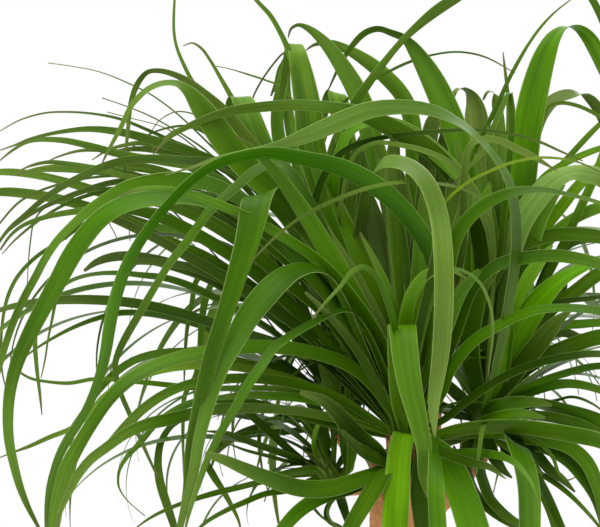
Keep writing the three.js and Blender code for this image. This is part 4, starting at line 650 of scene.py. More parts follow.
    "hairLeftA": ("upper", 2, -30, "shadedDeep",
        "250,215,3 180,180,3 110,176,2.5 60,184,2.5 22,200,2.5 0,223,2 -12,240,1"),
    "hairDropA": ("upper", 1.5, 0, "shadedDeep",
        "170,225,1.5 135,212,1.5 110,222,1.5 114,232,1 118,241,1"),
    "hairDropB": ("upper", 1.5, 5, "shadedDeep",
        "180,220,1.5 150,208,1.5 128,212,1.5 129,226,1 130,241,1"),
    "rightFillLowA": ("right", 10, 30, "mid",
        "505,400,9 530,392,10 555,385,10 575,384,9 600,390,8 630,405,3"),
    "rightFillLowB": ("right", 10, 55, "mid",
        "505,412,9 530,415,10 555,418,11 580,424,10 605,435,8 632,455,3"),
    "rightFillLowD": ("right", 9, 10, "mid",
        "500,436,8 520,460,10 535,480,10 547,502,10 556,530,8 562,560,3"),
    "rightFillMid": ("right", 9, -30, "mid",
        "510,370,9 535,300,10 550,265,10 565,247,10 580,240,9 605,240,7 630,248,2"),
    "leftFillBand": ("upper", 9, -45, "mid",
        "260,244,9 200,205,9 160,186,10 128,175,10 95,170,10 60,168,9 35,170,5 15,175,1"),
    "leftFillTop": ("upper", 7, -50, "mid",
        "250,210,8 210,170,8 180,156,8 155,150,7 133,149,5 110,152,2"),
    "leftFillDark": ("front", 8, -5, "shadedDeep",
        "300,340,10 240,290,10 200,270,9 165,263,8 140,262,6 120,266,2"),
    "lowDarkSecond": ("front", 12, 50, "shadedDeep",
        "394,458,12 378,458,14 363,451,12 351,441,8 342,430,3"),
    "leftHeadDrop": ("left", 9, 60, "shadedDeep",
        "338,489,9 342,503,10 346,516,8 349,530,3"),
    "rightCoverA": ("right", 14, 45, "mid",
        "478,412,12,20 492,408,15,32 510,404,15,38 530,402,12,42 552,405,3"),
    "rightCoverB": ("right", 13, 55, "fresh",
        "480,424,12,25 492,420,14,38 508,416,13,46 525,414,10,50 545,418,3"),
    "rightCoverC": ("right", 13, 50, "shadedDeep",
        "486,432,12,22 490,446,14,34 496,460,13,42 503,470,8,46 512,478,2"),
    "fillM": ("front", 14, -30, "shadedDeep",
        "412,300,14 420,230,16 426,180,18 428,145,18 433,122,16 437,108,3"),
    "fillN": ("upper", 12, -35, "mid",
        "350,300,12 360,230,15 366,180,14 366,155,10 364,140,3"),
    "fillO": ("front", 13, -30, "mid",
        "404,330,12 398,250,16 394,200,18 393,165,16 394,145,12 396,128,3"),
    "rightFillRise": ("right", 11, -20, "bright",
        "512,330,10 535,262,12 556,232,12 575,218,12 595,209,12 620,203,8 645,203,3"),
    "lowMidBand": ("front", 8, 60, "mid",
        "360,420,9 325,403,9 300,398,9 275,396,9 250,395,8 225,397,6 200,401,2"),
    "leftFillBandB": ("upper", 9, -45, "mid",
        "260,236,9 200,195,9 175,177,9 155,170,10 135,167,9 115,167,6 98,169,2"),
    "rightLowHookB": ("right", 12, 80, "mid",
        "504,438,11 526,443,12 550,450,13 570,463,13 585,480,13 597,500,12 605,530,8 610,560,3"),
    "rightLowSlimB": ("right", 9, 50, "shadedDeep",
        "505,436,9 522,443,10 537,455,11 550,470,11 563,480,8 575,492,2"),
    "centreFillA": ("back", 16, -55, "fresh",
        "440,300,18 447,230,20 449,180,20 446,145,15 442,118,3"),
    "centreFillB": ("right", 15, 0, "lime",
        "484,340,16 481,280,20 482,232,20 486,200,12 490,182,3"),
    "centreFillC": ("front", 14, -2, "bright",
        "440,340,16 452,280,19 460,232,18 467,200,12 471,182,3"),
}

# Leaves by rule on the sides turned away, then slim young leaves that fill the heads:
# head, count, compass from and to, rise, length and width from and to, look.

ruledLeaves = [
    ("back", 15, -10, 190, (35, 84), (300, 420), (12, 18), "mid"),
    ("upper", 11, 40, 205, (30, 84), (280, 400), (11, 17), "mid"),
    ("right", 9, -35, 120, (30, 82), (280, 380), (11, 17), "mid"),
    ("left", 5, 100, 200, (15, 75), (200, 300), (9, 14), "mid"),
]
youngLeaves = [
    ("front", 16, 10, 170, (35, 86), (90, 240), (5, 9), "fresh"),
    ("right", 14, 0, 180, (30, 86), (90, 240), (5, 9), "fresh"),
    ("back", 12, 0, 200, (40, 86), (110, 260), (5, 9), "mid"),
    ("upper", 12, 20, 200, (30, 86), (100, 240), (5, 9), "mid"),
    ("left", 10, 60, 220, (10, 80), (80, 200), (4, 8), "mid"),
]

leafShape = {
    "samples": 56,
    "baseShare": 0.35,  # width at the root over full width
    "baseGrowth": 3,
    "tipShare": 0.55,  # the part of the length that narrows to the tip
    "tipPower": 0.85,
    "hairTip": 0.0005,  # half width of the thread that a tip ends in
    "hiddenSpan": 25,  # pixels: a longer first span is hidden and starts narrow
    "seed": 7,
}
leafArch = {
    "scatter": 14,  # degrees of compass that a leaf may stray
    "riseStep": 0.618,  # spreads the rises evenly through a row
    "riseStart": 0.3,
    "droop": (80, 45),  # degrees from root to tip: least, and how much more
    "droopPerRise": 0.85,
    "bendPower": 1.35,
    "lean": 0.5,
    "twist": 1.2,
    "faceUp": 2,  # how much more the upper face keeps to the sky than away from the head
}
leafFacing = {
    "angles": 60,
    "seenWeight": 20,  # how much the blade keeps to the width seen
    "bendWeight": 90,  # how much it avoids a sideways bend
    "twistWeight": 0.5,
    "twistStep": 0.02,  # metres over which a radian of twist costs as much as its weight
    "slimmest": 0.6,  # of its full width, where it looks slimmer than its facing explains
    "endOn": 2,  # the seen width counts less once a leaf's length shows less than 1 part in this
    "leastShown": 0.05,  # share of the blade's width that always counts as seen
    "skyward": 0.6,  # how much the upper face keeps to the sky against the outside of the bend
    "firstWay": (0.3, 0.2, 1.0),  # any way that no leaf sets out in
    "easing": {"seen": 2, "turn": 8, "half": 4},  # rounds that smooth each along the leaf
}


def fromPhoto(x, y, depth):
    perPixel = photoView["pixelSize"] / photoView["distance"]
    across = (x - photoView["centre"][0]) * perPixel
    ray = sight + Vector((across, 0, 0)) + sightUp * ((photoView["centre"][1] - y) * perPixel)
    return eye + ray * ((-depth - eye.y) / ray.y)


def headPoint(name):
    x, y, depth = leafHeads[name]
    return fromPhoto(x, y, depth / 1000)


def fullness(u):
    base = min(1, leafShape["baseShare"] + u * leafShape["baseGrowth"])
    return base * min(1, (1 - u) / leafShape["tipShare"]) ** leafShape["tipPower"]


def curvePoint(knots, position):
    # centripetal Catmull-Rom spline through the knots, and its direction
    last = len(knots) - 1
    start = min(int(position), last - 1)
    t = position - start
    p1, p2 = knots[start], knots[start + 1]
    p0 = knots[start - 1] if start > 0 else p1 * 2 - p2
    p3 = knots[start + 2] if start + 2 <= last else p2 * 2 - p1
    d0, d1, d2 = (max((b - a).length, 1e-6) ** 0.5 for a, b in ((p0, p1), (p1, p2), (p2, p3)))
    m1 = ((p1 - p0) / d0 - (p2 - p0) / (d0 + d1) + (p2 - p1) / d1) * d1
    m2 = ((p2 - p1) / d1 - (p3 - p1) / (d1 + d2) + (p3 - p2) / d2) * d1
    c2 = (p2 - p1) * 3 - m1 * 2 - m2
    c3 = (p1 - p2) * 2 + m1 + m2
    return p1 + m1 * t + c2 * t * t + c3 * t ** 3, m1 + c2 * 2 * t + c3 * 3 * t * t


def eased(values, rounds):
    values = list(values)
    for _ in range(rounds):
        inner = [(a + 2 * b + c) / 4 for a, b, c in zip(values, values[1:], values[2:])]
        values = [values[0]] + inner + [values[-1]]
    return values


def tracedStations(head, width, reach, stops):
    # along the stops: point, half width, way across the blade and share of the length
    rootX, rootY, depth = leafHeads[head]
    marks = [tuple(float(v) for v in stop.split(",")) for stop in stops.split()]
    firstSpan = math.hypot(marks[0][0] - rootX, marks[0][1] - rootY)
    shrink = leafShape["baseShare"] if firstSpan > leafShape["hiddenSpan"] else 1
    marks = [(rootX, rootY, marks[0][2] * shrink, 0)] + marks
    lengths = [0]
    for a, b in zip(marks, marks[1:]):
        lengths.append(lengths[-1] + math.hypot(b[0] - a[0], b[1] - a[1]))
    if len(marks[-1]) < 4:
        marks[-1] += (reach,)
    known = [(reached, mark[3]) for reached, mark in zip(lengths, marks) if len(mark) > 3]
    knots = []
    for mark, reached in zip(marks, lengths):
        after = next(i for i, (stop, _) in enumerate(known) if stop >= reached)
        low, high = known[max(after - 1, 0)], known[max(after, 1)]
        u = (reached - low[0]) / (high[0] - low[0])
        ease = 0.5 * u + 0.5 * u * u * (3 - 2 * u)
        knots.append(fromPhoto(mark[0], mark[1], (depth + mix(low[1], high[1], ease)) / 1000))
    samples = leafShape["samples"]
    points, alongs, seen, full, shares = [], [], [], [], []
    for i in range(samples + 1):
        position = i / samples * (len(marks) - 1)
        before = min(int(position), len(marks) - 2)
        part = position - before
        u = mix(lengths[before], lengths[before + 1], part) / lengths[-1]
        seenPixels = mix(marks[before][2], marks[before + 1][2], part)
        point, along = curvePoint(knots, position)
        scale = photoView["pixelSize"] * (point - eye).length / photoView["distance"]
        points.append(point)
        alongs.append(along.normalized())
        seen.append(seenPixels * scale / 2)
        full.append(max(width / 2000 * fullness(u), leafShape["hairTip"]))
        shares.append(u)
    easing = leafFacing["easing"]
    acrosses, halves = facings(points, alongs, eased(seen, easing["seen"]), full)
    return list(zip(points, eased(halves, easing["half"]), acrosses, shares))


def facings(points, alongs, seen, full):
    # The way across the blade at each station: as near as can be to the seen width, with no
    # sideways bend, which a strap can't take, and little twist. Found from root to tip over
    # all the angles round a pair of axes that doesn't twist.
    count, turns = len(points), leafFacing["angles"]
    path = np.array([tuple(p) for p in points])
    ways = np.array([tuple(a) for a in alongs])
    seen, full = np.array(seen), np.maximum(np.array(full), np.array(seen))
    steady = np.zeros_like(path)
    start = np.cross(ways[0], leafFacing["firstWay"])
    steady[0] = start / np.linalg.norm(start)
    for i in range(1, count):
        v1 = path[i] - path[i - 1]
        c1 = max(v1 @ v1, 1e-12)
        r = steady[i - 1] - 2 / c1 * (v1 @ steady[i - 1]) * v1
        t = ways[i - 1] - 2 / c1 * (v1 @ ways[i - 1]) * v1
        v2 = ways[i] - t
        c2 = max(v2 @ v2, 1e-12)
        r = r - 2 / c2 * (v2 @ r) * v2
        r -= ways[i] * (ways[i] @ r)
        steady[i] = r / np.linalg.norm(r)
    other = np.cross(ways, steady)
    angles = np.arange(turns) * 2 * math.pi / turns
    across = (steady[:, None] * np.cos(angles)[None, :, None]
              + other[:, None] * np.sin(angles)[None, :, None])
    steps = np.linalg.norm(np.diff(path, axis=0), axis=1)
    bend = np.gradient(ways, np.concatenate(([0], np.cumsum(steps))), axis=0)
    toPoint = path - np.array(tuple(eye))
    toPoint /= np.linalg.norm(toPoint, axis=1)[:, None]
    facing = np.cross(ways, toPoint)
    openness = np.linalg.norm(facing, axis=1)
    facing /= np.maximum(openness, 1e-6)[:, None]
    shown = np.abs(np.einsum("nkj,nj->nk", across, facing))
    misfit = ((shown * full[:, None] - seen[:, None]) / np.maximum(full, 0.001)[:, None]) ** 2
    misfit *= leafFacing["seenWeight"] * np.minimum(1, openness * leafFacing["endOn"])[:, None]
    strain = np.einsum("nkj,nj->nk", across, bend) * full[:, None]
    cost = misfit + leafFacing["bendWeight"] * strain ** 2
    gap = np.abs(angles[:, None] - angles[None, :])
    gap = np.minimum(gap, 2 * math.pi - gap)
    total, back = cost[0], []
    for i in range(1, count):
        rate = leafFacing["twistWeight"] * (gap * leafFacing["twistStep"] / max(steps[i - 1], 1e-4)) ** 2
        paths = total[:, None] + rate * steps[i - 1] / leafFacing["twistStep"]
        back.append(paths.argmin(axis=0))
        total = paths.min(axis=0) + cost[i]
    best = [int(total.argmin())]
    for chosen in reversed(back):
        best.append(int(chosen[best[-1]]))
    best.reverse()
    turned = np.array(eased(np.unwrap(angles[best]), leafFacing["easing"]["turn"]))
    chosenWays = steady * np.cos(turned)[:, None] + other * np.sin(turned)[:, None]
    upper = np.cross(ways, chosenWays)
    if (upper * (-bend + np.array((0, 0, leafFacing["skyward"])))).sum() < 0:
        chosenWays = -chosenWays
    shown = np.abs((chosenWays * facing).sum(axis=1))
    halves = seen / np.maximum(shown, leafFacing["leastShown"])
    halves = np.clip(halves, full * leafFacing["slimmest"], full)
    return [Vector(v) for v in chosenWays], list(halves)


def draw(leaf, item):
    value = math.sin(leaf * 12.9898 + item * 78.233 + leafShape["seed"]) * 43758.5453
    return value - math.floor(value)


def ruledStations(row, index, serial):
    # a leaf that rises from its head, arches over and hangs
    head, count, start, end, rises, lengths, widths = row[:7]
    stray = leafArch["scatter"] * (draw(serial, 1) - 0.5)
    compass = math.radians(mix(start, end, (index + 0.5) / count) + stray)
    rise = math.radians(mix(*rises, (index * leafArch["riseStep"] + leafArch["riseStart"]) % 1))
    length = mix(*lengths, draw(serial, 2)) / 1000
    width = mix(*widths, draw(serial, 3)) / 1000
    least, more = leafArch["droop"]
    droop = math.radians(least + more * draw(serial, 4)) + rise * leafArch["droopPerRise"]
    lean = leafArch["lean"] * (draw(serial, 5) - 0.5)
    away = Vector((math.cos(compass), math.sin(compass), 0))
    sideways = Vector((-math.sin(compass), math.cos(compass), 0))
    samples = leafShape["samples"]
    point = headPoint(head)
    stations = []
    for i in range(samples + 1):
        u = i / samples
        pitch = rise - droop * u ** leafArch["bendPower"]
        along = (away * math.cos(pitch) + Vector((0, 0, math.sin(pitch))) + sideways * lean * u)
        along.normalize()
        half = max(width / 2 * fullness(u), leafShape["hairTip"])
        roll = (draw(serial, 6) - 0.5) * leafArch["twist"] * u
        flat = (sideways - along * sideways.dot(along)).normalized()
        across = flat * math.cos(roll) + flat.cross(along) * math.sin(roll)
        upper = along.cross(across)
        if upper.dot(away) + upper.z * leafArch["faceUp"] < 0:
            across = -across
        stations.append((point.copy(), half, across, u))
        point = point + along * (length / samples)
    return stations


def tinted(look, serial):
    # the look's colour, lighter or darker and warmer or cooler from leaf to leaf
    red, green, blue, _ = linearColour(leafLooks[look][0])
    light, warm = (least + more * draw(serial, item) for (least, more), item in (
        (leafSpread["light"], 11), (leafSpread["warm"], 12)))
    return red * light * warm, green * light, blue * light / warm, 1


def leafLines(name, leaves):
    # one polyline for each leaf, with what its blade needs at every point
    points, edges = [], []
    columns = {"halfWidth": [], "acrossWay": [], "upWay": [], "leafRun": [], "leafShare": [],
               "leafSeed": [], "leafTint": [], "limeReach": []}
    for serial, look, stations in leaves:
        run = 0
        for i, (point, half, across, u) in enumerate(stations):
            if i:
                run += (point - stations[i - 1][0]).length
                edges.append((len(points) - 1, len(points)))
            ahead = stations[min(i + 1, len(stations) - 1)][0] - stations[max(i - 1, 0)][0]
            points.append(point)
            columns["halfWidth"].append(half)
            columns["acrossWay"].append(across)
            columns["upWay"].append(ahead.cross(across).normalized())
            columns["leafRun"].append(run)
            columns["leafShare"].append(u)
            columns["leafSeed"].append(draw(serial, 9))
            columns["leafTint"].append(tinted(look, serial))
            columns["limeReach"].append(leafLooks[look][1])
    mesh = bpy.data.meshes.new(name)
    mesh.from_pydata(points, edges, [])
    kinds = {"acrossWay": ("FLOAT_VECTOR", "vector"), "upWay": ("FLOAT_VECTOR", "vector"),
             "leafTint": ("FLOAT_COLOR", "color")}
    for label, values in columns.items():
        kind, field = kinds.get(label, ("FLOAT", "value"))
        attribute = mesh.attributes.new(label, kind, "POINT")
        flat = values if field == "value" else [part for value in values for part in value]
        attribute.data.foreach_set(field, np.array(flat, float))
    return linked(name, mesh)


bladeForm = {
    "sides": 14,
    "thickness": 0.04,  # of the half width
    "gutter": 0.09,  # how far the edges stand above the middle, of the half width
}


def bladeTree():
    # a strap blade along each line: an oval drawn out to the width, then folded to a shallow gutter
    tree, given = newTree("strapBlades", [
        ("Sides", "NodeSocketInt", bladeForm["sides"]),
        ("Thickness", "NodeSocketFloat", bladeForm["thickness"]),
        ("Gutter", "NodeSocketFloat", bladeForm["gutter"]),
        ("Material", "NodeSocketMaterial", None),
    ])
    held = {}
    for label, kind in (("halfWidth", "FLOAT"), ("leafRun", "FLOAT"), ("bladeAcross", "FLOAT"),
                        ("acrossWay", "FLOAT_VECTOR"), ("upWay", "FLOAT_VECTOR")):
        node = addNode(tree, "GeometryNodeInputNamedAttribute", {"Name": label}, data_type=kind)
        held[label] = node.outputs["Attribute"]
    lines = addNode(tree, "GeometryNodeMeshToCurve", {"Mesh": given["Geometry"]})
    turned = addNode(tree, "GeometryNodeSetCurveNormal", {
        "Curve": lines.outputs[0], "Normal": held["acrossWay"]}, mode="FREE")

    # the section: a circle made flat and a little fuller towards its edges
    circle = addNode(tree, "GeometryNodeCurvePrimitiveCircle", {
        "Resolution": given["Sides"], "Radius": 1.0})
    place = addNode(tree, "GeometryNodeInputPosition").outputs[0]
    x, y, _ = addNode(tree, "ShaderNodeSeparateXYZ", {0: place}).outputs
    square = addNode(tree, "ShaderNodeMath", {0: x, 1: x}, operation="MULTIPLY")
    swell = addNode(tree, "ShaderNodeMath", {
        0: square.outputs[0], 1: -0.5, 2: 1.5}, operation="MULTIPLY_ADD")
    factors = addNode(tree, "ShaderNodeCombineXYZ", {"X": swell.outputs[0], "Y": given["Thickness"]})
    oval = addNode(tree, "ShaderNodeVectorMath", {0: place, 1: factors.outputs[0]}, operation="MULTIPLY")
    section = addNode(tree, "GeometryNodeSetPosition", {
        "Geometry": circle.outputs[0], "Position": oval.outputs[0]}).outputs[0]
    for label, value in (("bladeFace", y), ("bladeAcross", x)):
        section = addNode(tree, "GeometryNodeStoreNamedAttribute", {
            "Geometry": section, "Name": label, "Value": value}, data_type="FLOAT").outputs[0]
    blades = addNode(tree, "GeometryNodeCurveToMesh", {
        "Curve": turned.outputs[0], "Profile Curve": section, "Scale": held["halfWidth"],
        "Fill Caps": True})

    # the gutter: half way out stays, the middle sinks and the edges rise
    edge = addNode(tree, "ShaderNodeMath", {0: held["bladeAcross"]}, operation="ABSOLUTE")
    above = addNode(tree, "ShaderNodeMath", {0: edge.outputs[0], 1: 0.5}, operation="SUBTRACT")
    for factor in (given["Gutter"], held["halfWidth"]):
        above = addNode(tree, "ShaderNodeMath", {0: above.outputs[0], 1: factor}, operation="MULTIPLY")
    lift = addNode(tree, "ShaderNodeVectorMath", {
        0: held["upWay"], "Scale": above.outputs[0]}, operation="SCALE")
    folded = addNode(tree, "GeometryNodeSetPosition", {
        "Geometry": blades.outputs[0], "Offset": lift.outputs[0]})

    # the blade laid flat, in metres, for the veins
    wide = addNode(tree, "ShaderNodeMath", {
        0: held["bladeAcross"], 1: held["halfWidth"]}, operation="MULTIPLY")
    flat = addNode(tree, "ShaderNodeCombineXYZ", {"X": wide.outputs[0], "Y": held["leafRun"]})
    mapped = addNode(tree, "GeometryNodeStoreNamedAttribute", {
        "Geometry": folded.outputs[0], "Name": "bladeMap", "Value": flat.outputs[0]},
        data_type="FLOAT2", domain="CORNER")
    smooth = addNode(tree, "GeometryNodeSetShadeSmooth", {"Geometry": mapped.outputs[0]})
    real = addNode(tree, "GeometryNodeRealizeInstances", {"Geometry": smooth.outputs[0]})
    done = addNode(tree, "GeometryNodeSetMaterial", {
        "Geometry": real.outputs[0], "Material": given["Material"]})
    addNode(tree, "NodeGroupOutput", {"Geometry": done.outputs[0]})
    return tree


# Living leaf: a waxy, finely veined strap that light shines through, sap green with lime bases

leafFinish = {
    # spacing across the blade and length along it, and how fine the noise is
    "veins": (0.0014, 0.12, 1.0),  # real veins are 0.7 mm apart: twice as coarse, so that they show
    "streaks": (0.0045, 0.25, 2.0),
    "bands": (0.02, 0.09, 0.0),  # paler and darker stretches along a leaf
    "veinTone": "#b0ba6a",
    "streakTone": "#b8c070",
    "bandTone": "#a2b478",
    "base": "#6aa000",
    "edge": "#a9bb70",
    "under": "#6a8c28",
    "tip": "#64683a",
    "outer": "#8c9c5c",  # the weathered, duller end of a leaf
    "gloss": "#dcecb0",
    "roughness": (0.3, 0.46),
    "shineThrough": 0.3,
}


def leafMaterial():
    material, tree = newMaterial("strapLeafCuticle")
    held = {}
    for label in ("leafSeed", "leafShare", "limeReach", "halfWidth", "bladeAcross", "bladeFace"):
        held[label] = addNode(tree, "ShaderNodeAttribute", attribute_name=label).outputs["Fac"]
    tint = addNode(tree, "ShaderNodeAttribute", attribute_name="leafTint").outputs["Color"]

    # noise drawn out along the blade, elsewhere on each leaf
    leafMap = addNode(tree, "ShaderNodeUVMap", uv_map="bladeMap").outputs[0]
    apart = addNode(tree, "ShaderNodeMapRange", {"Value": held["leafSeed"], "To Max": 40.0})
    shift = addNode(tree, "ShaderNodeCombineXYZ", {"Z": apart.outputs[0]})
    moved = addNode(tree, "ShaderNodeVectorMath", {0: leafMap, 1: shift.outputs[0]}, operation="ADD")
    patterns = {}
    for label in ("veins", "streaks", "bands"):
        spacing, length, detail = leafFinish[label]
        scaled = addNode(tree, "ShaderNodeMapping", {
            "Vector": moved.outputs[0], "Scale": (1 / spacing, 1 / length, 1)})
        patterns[label] = addNode(tree, "ShaderNodeTexNoise", {
            "Vector": scaled.outputs[0], "Scale": 1.0, "Detail": detail,
            "Roughness": 0.55}).outputs["Fac"]

    sideways = addNode(tree, "ShaderNodeMath", {0: held["bladeAcross"]}, operation="ABSOLUTE")
    thin = addNode(tree, "ShaderNodeMapRange", {
        "Value": held["halfWidth"], "From Min": 0.0016, "From Max": 0.0007})
    last = addNode(tree, "ShaderNodeMapRange", {
        "Value": held["leafShare"], "From Min": 0.9, "From Max": 0.99})
    dry = addNode(tree, "ShaderNodeMath", {0: thin.outputs[0], 1: last.outputs[0]},
                  operation="MULTIPLY")
    colour = paintLayers(tree, tint, [
        ("MIX", held["leafShare"], held["limeReach"], 0.02, 0, 0.75, leafFinish["base"]),
        ("MIX", held["leafShare"], 0.6, 0.95, 0, 0.36, leafFinish["outer"]),
        ("MIX", held["bladeFace"], 0.1, -0.1, 0, 0.3, leafFinish["under"]),
        ("MULTIPLY", patterns["streaks"], 0.35, 0.65, 0.4, 0, leafFinish["streakTone"]),
        ("MULTIPLY", patterns["bands"], 0.3, 0.6, 0.7, 0, leafFinish["bandTone"]),
        ("MULTIPLY", patterns["veins"], 0.4, 0.6, 0.3, 0, leafFinish["veinTone"]),
        ("MIX", sideways.outputs[0], 0.9, 0.98, 0, 0.4, leafFinish["edge"]),
        ("MIX", dry.outputs[0], 0, 1, 0, 1, leafFinish["tip"]),
    ])
    smoothest, roughest = leafFinish["roughness"]
    roughness = addNode(tree, "ShaderNodeMapRange", {
        "Value": patterns["streaks"], "From Min": 0.3, "From Max": 0.7,
        "To Min": smoothest, "To Max": roughest})
    bump = addNode(tree, "ShaderNodeBump", {
        "Height": patterns["veins"], "Strength": 0.25, "Distance": 0.0002})
    waxy = addNode(tree, "ShaderNodeBsdfPrincipled", {
        "Base Color": colour, "Roughness": roughness.outputs[0], "IOR": 1.45,
        "Specular IOR Level": 0.2, "Specular Tint": linearColour(leafFinish["gloss"]),
        "Normal": bump.outputs[0]})
    lit = addNode(tree, "ShaderNodeHueSaturation", {
        "Hue": 0.492, "Saturation": 1.15, "Value": 1.7, "Color": colour})
    through = addNode(tree, "ShaderNodeBsdfTranslucent", {"Color": lit.outputs[0]})
    both = addNode(tree, "ShaderNodeMixShader", {
        0: leafFinish["shineThrough"], 1: waxy.outputs[0], 2: through.outputs[0]})
    addNode(tree, "ShaderNodeOutputMaterial", {"Surface": both.outputs[0]})
    return material


leafCuticle = leafMaterial()
strapBlades = bladeTree()


def growLeaves():
    grown = {head: [] for head in leafHeads}
    serial = 0
    for row in ruledLeaves + youngLeaves:
        for index in range(row[1]):
            grown[row[0]].append((serial, row[7], ruledStations(row, index, serial)))
            serial += 1
    for head, width, reach, look, stops in tracedLeaves.values():
        grown[head].append((serial, look, tracedStations(head, width, reach, stops)))
        serial += 1
    pieces = []
    for head, leaves in grown.items():
        lines = leafLines(head + "Lines", leaves)
        addModifierTree(lines, strapBlades, {"Material": leafCuticle})
        pieces.append(applyModifiers(lines, head + "HeadLeaves"))
        print(head, "head:", len(leaves), "leaves,", len(pieces[-1].data.polygons), "faces")
    return pieces


leafPieces = growLeaves()
print("leaves grown")

# Trunk: a swollen corky base, a slim stem and one branch to each leaf head

trunkForm = {
    # height and radius in mm, from the foot in the soil to the fork
    "profile": [
        (118.5, 34), (126, 48), (138, 55), (152, 58), (168, 58.5), (184, 55), (202, 48), (222, 39.5),
        (244, 32), (268, 27), (300, 24), (340, 22), (385, 20.8), (430, 20.5), (458, 21), (474, 17),
    ],
    "foot": 118.5,
    "top": 482,
    "sides": 72,
    "rows": 150,
    "lump": 1.6,  # unevenness of the base, and the heights where it comes in and dies away
    "lumpStart": (157, 180),
    "lumpEnd": (260, 330),
    "folds": [(3, 0.03, 1), (5, -0.05, 0.7)],  # how many round, radians of turn a mm up, strength
    # each head's size, the height at which its branch leaves the trunk and how far that sags
    "branches": {"front": (1, 444, 5), "left": (0.6, 475, 0), "right": (0.95, 444, 5),
                 "back": (0.95, 448, 5), "upper": (0.85, 464, -17)},
    "slimmer": {"left": 0.6, "upper": 0.55, "right": 0.8},  # girth against the head's size
    "branchRadius": 10.5,
    "branchTaper": (1.1, 1.05, 0.98, 1, 0.95),
    "branchOffset": 0.08,  # start of a branch, as a share of the way out to its head
    "branchBend": 0.55,
    "branchSides": 28,
    "branchRows": 30,
    "budSeat": 20,  # a branch ends this far below the middle of its leaf head
    "seat": 0.3,
    "voxel": 0.0019,
    "softening": 3,
    "platesEnd": (235, 330),  # heights in mm over which cork plates give way to rings
    "crackSize": 0.012,  # cork plates at the base, in metres
    "crackSquash": 0.8,  # plates stand a little taller than wide
    "crackWidth": (0.02, 0.2),
    "crackDepth": 0.0012,
    "crackWander": (55, 0.25),  # how fine and how strong
    "ringSpacing": 0.0062,  # leaf scars up the stem
    "ringWidth": (0.04, 0.22),
    "ringDepth": 0.0005,
    "ringWander": (30, 0.6),
    "grain": (220, 0.00025),
    "seed": 11,  # fixes where the cracks wander
}


def splined(pairs, count):
    # evenly spaced points on a smooth line through height and radius pairs
    knots = [Vector((radius, 0, height)) for height, radius in pairs]
    return [curvePoint(knots, i / count * (len(knots) - 1))[0] for i in range(count + 1)]


def branchLine(head):
    size, fork, sag = trunkForm["branches"][head]
    end = headPoint(head) * 1000
    end.z -= trunkForm["budSeat"] * size + trunkForm["seat"]
    share = trunkForm["branchOffset"]
    start = Vector((end.x * share, end.y * share, fork))
    bend = start.lerp(end, trunkForm["branchBend"])
    bend.z -= sag
    return [start, start.lerp(bend, 0.5), bend, bend.lerp(end, 0.6), end]


def branchGirth(head):
    return (trunkForm["branchRadius"] * trunkForm["branches"][head][0]
            * trunkForm["slimmer"].get(head, 1))


def tubeBetween(knots, radii, sides, steps):
    vertices, faces = [], []
    side = Vector((0, 1, 0))
    for i in range(steps + 1):
        position = i / steps * (len(knots) - 1)
        point, along = curvePoint(knots, position)
        along.normalize()
        before = min(int(position), len(radii) - 2)
        radius = mix(radii[before], radii[before + 1], position - before)
        side = side - along * side.dot(along)
        side.normalize()
        for j in range(sides):
            angle = 2 * math.pi * j / sides
            out = side * math.cos(angle) + along.cross(side) * math.sin(angle)
            vertices.append(point + out * radius)
    for i in range(steps):
        for j in range(sides):
            k = (j + 1) % sides
            faces.append((i * sides + j, i * sides + k, (i + 1) * sides + k, (i + 1) * sides + j))
    faces.append(tuple(reversed(range(sides))))
    faces.append(tuple(range(steps * sides, (steps + 1) * sides)))
    return vertices, faces


def barkRelief(point):
    # how deep the bark is cracked at a point: cork plates on the base, rings up the stem
    height = point.z * 1000
    plates = 1 - smoothStep(height, *trunkForm["platesEnd"])
    fine, strong = trunkForm["crackWander"]
    warp = noise.noise_vector(point * fine) * strong
    size = trunkForm["crackSize"]
    squashed = Vector((point.x, point.y, point.z * trunkForm["crackSquash"]))
    near = noise.voronoi(squashed / size + warp)[0]
    crack = 1 - smoothStep(near[1] - near[0], *trunkForm["crackWidth"])
    fine, strong = trunkForm["ringWander"]
    ring = (height / 1000 / trunkForm["ringSpacing"] + strong * noise.noise(point * fine)) % 1
    scar = 1 - smoothStep(abs(ring - 0.5), *trunkForm["ringWidth"])
    return crack * plates, scar * (1 - plates)


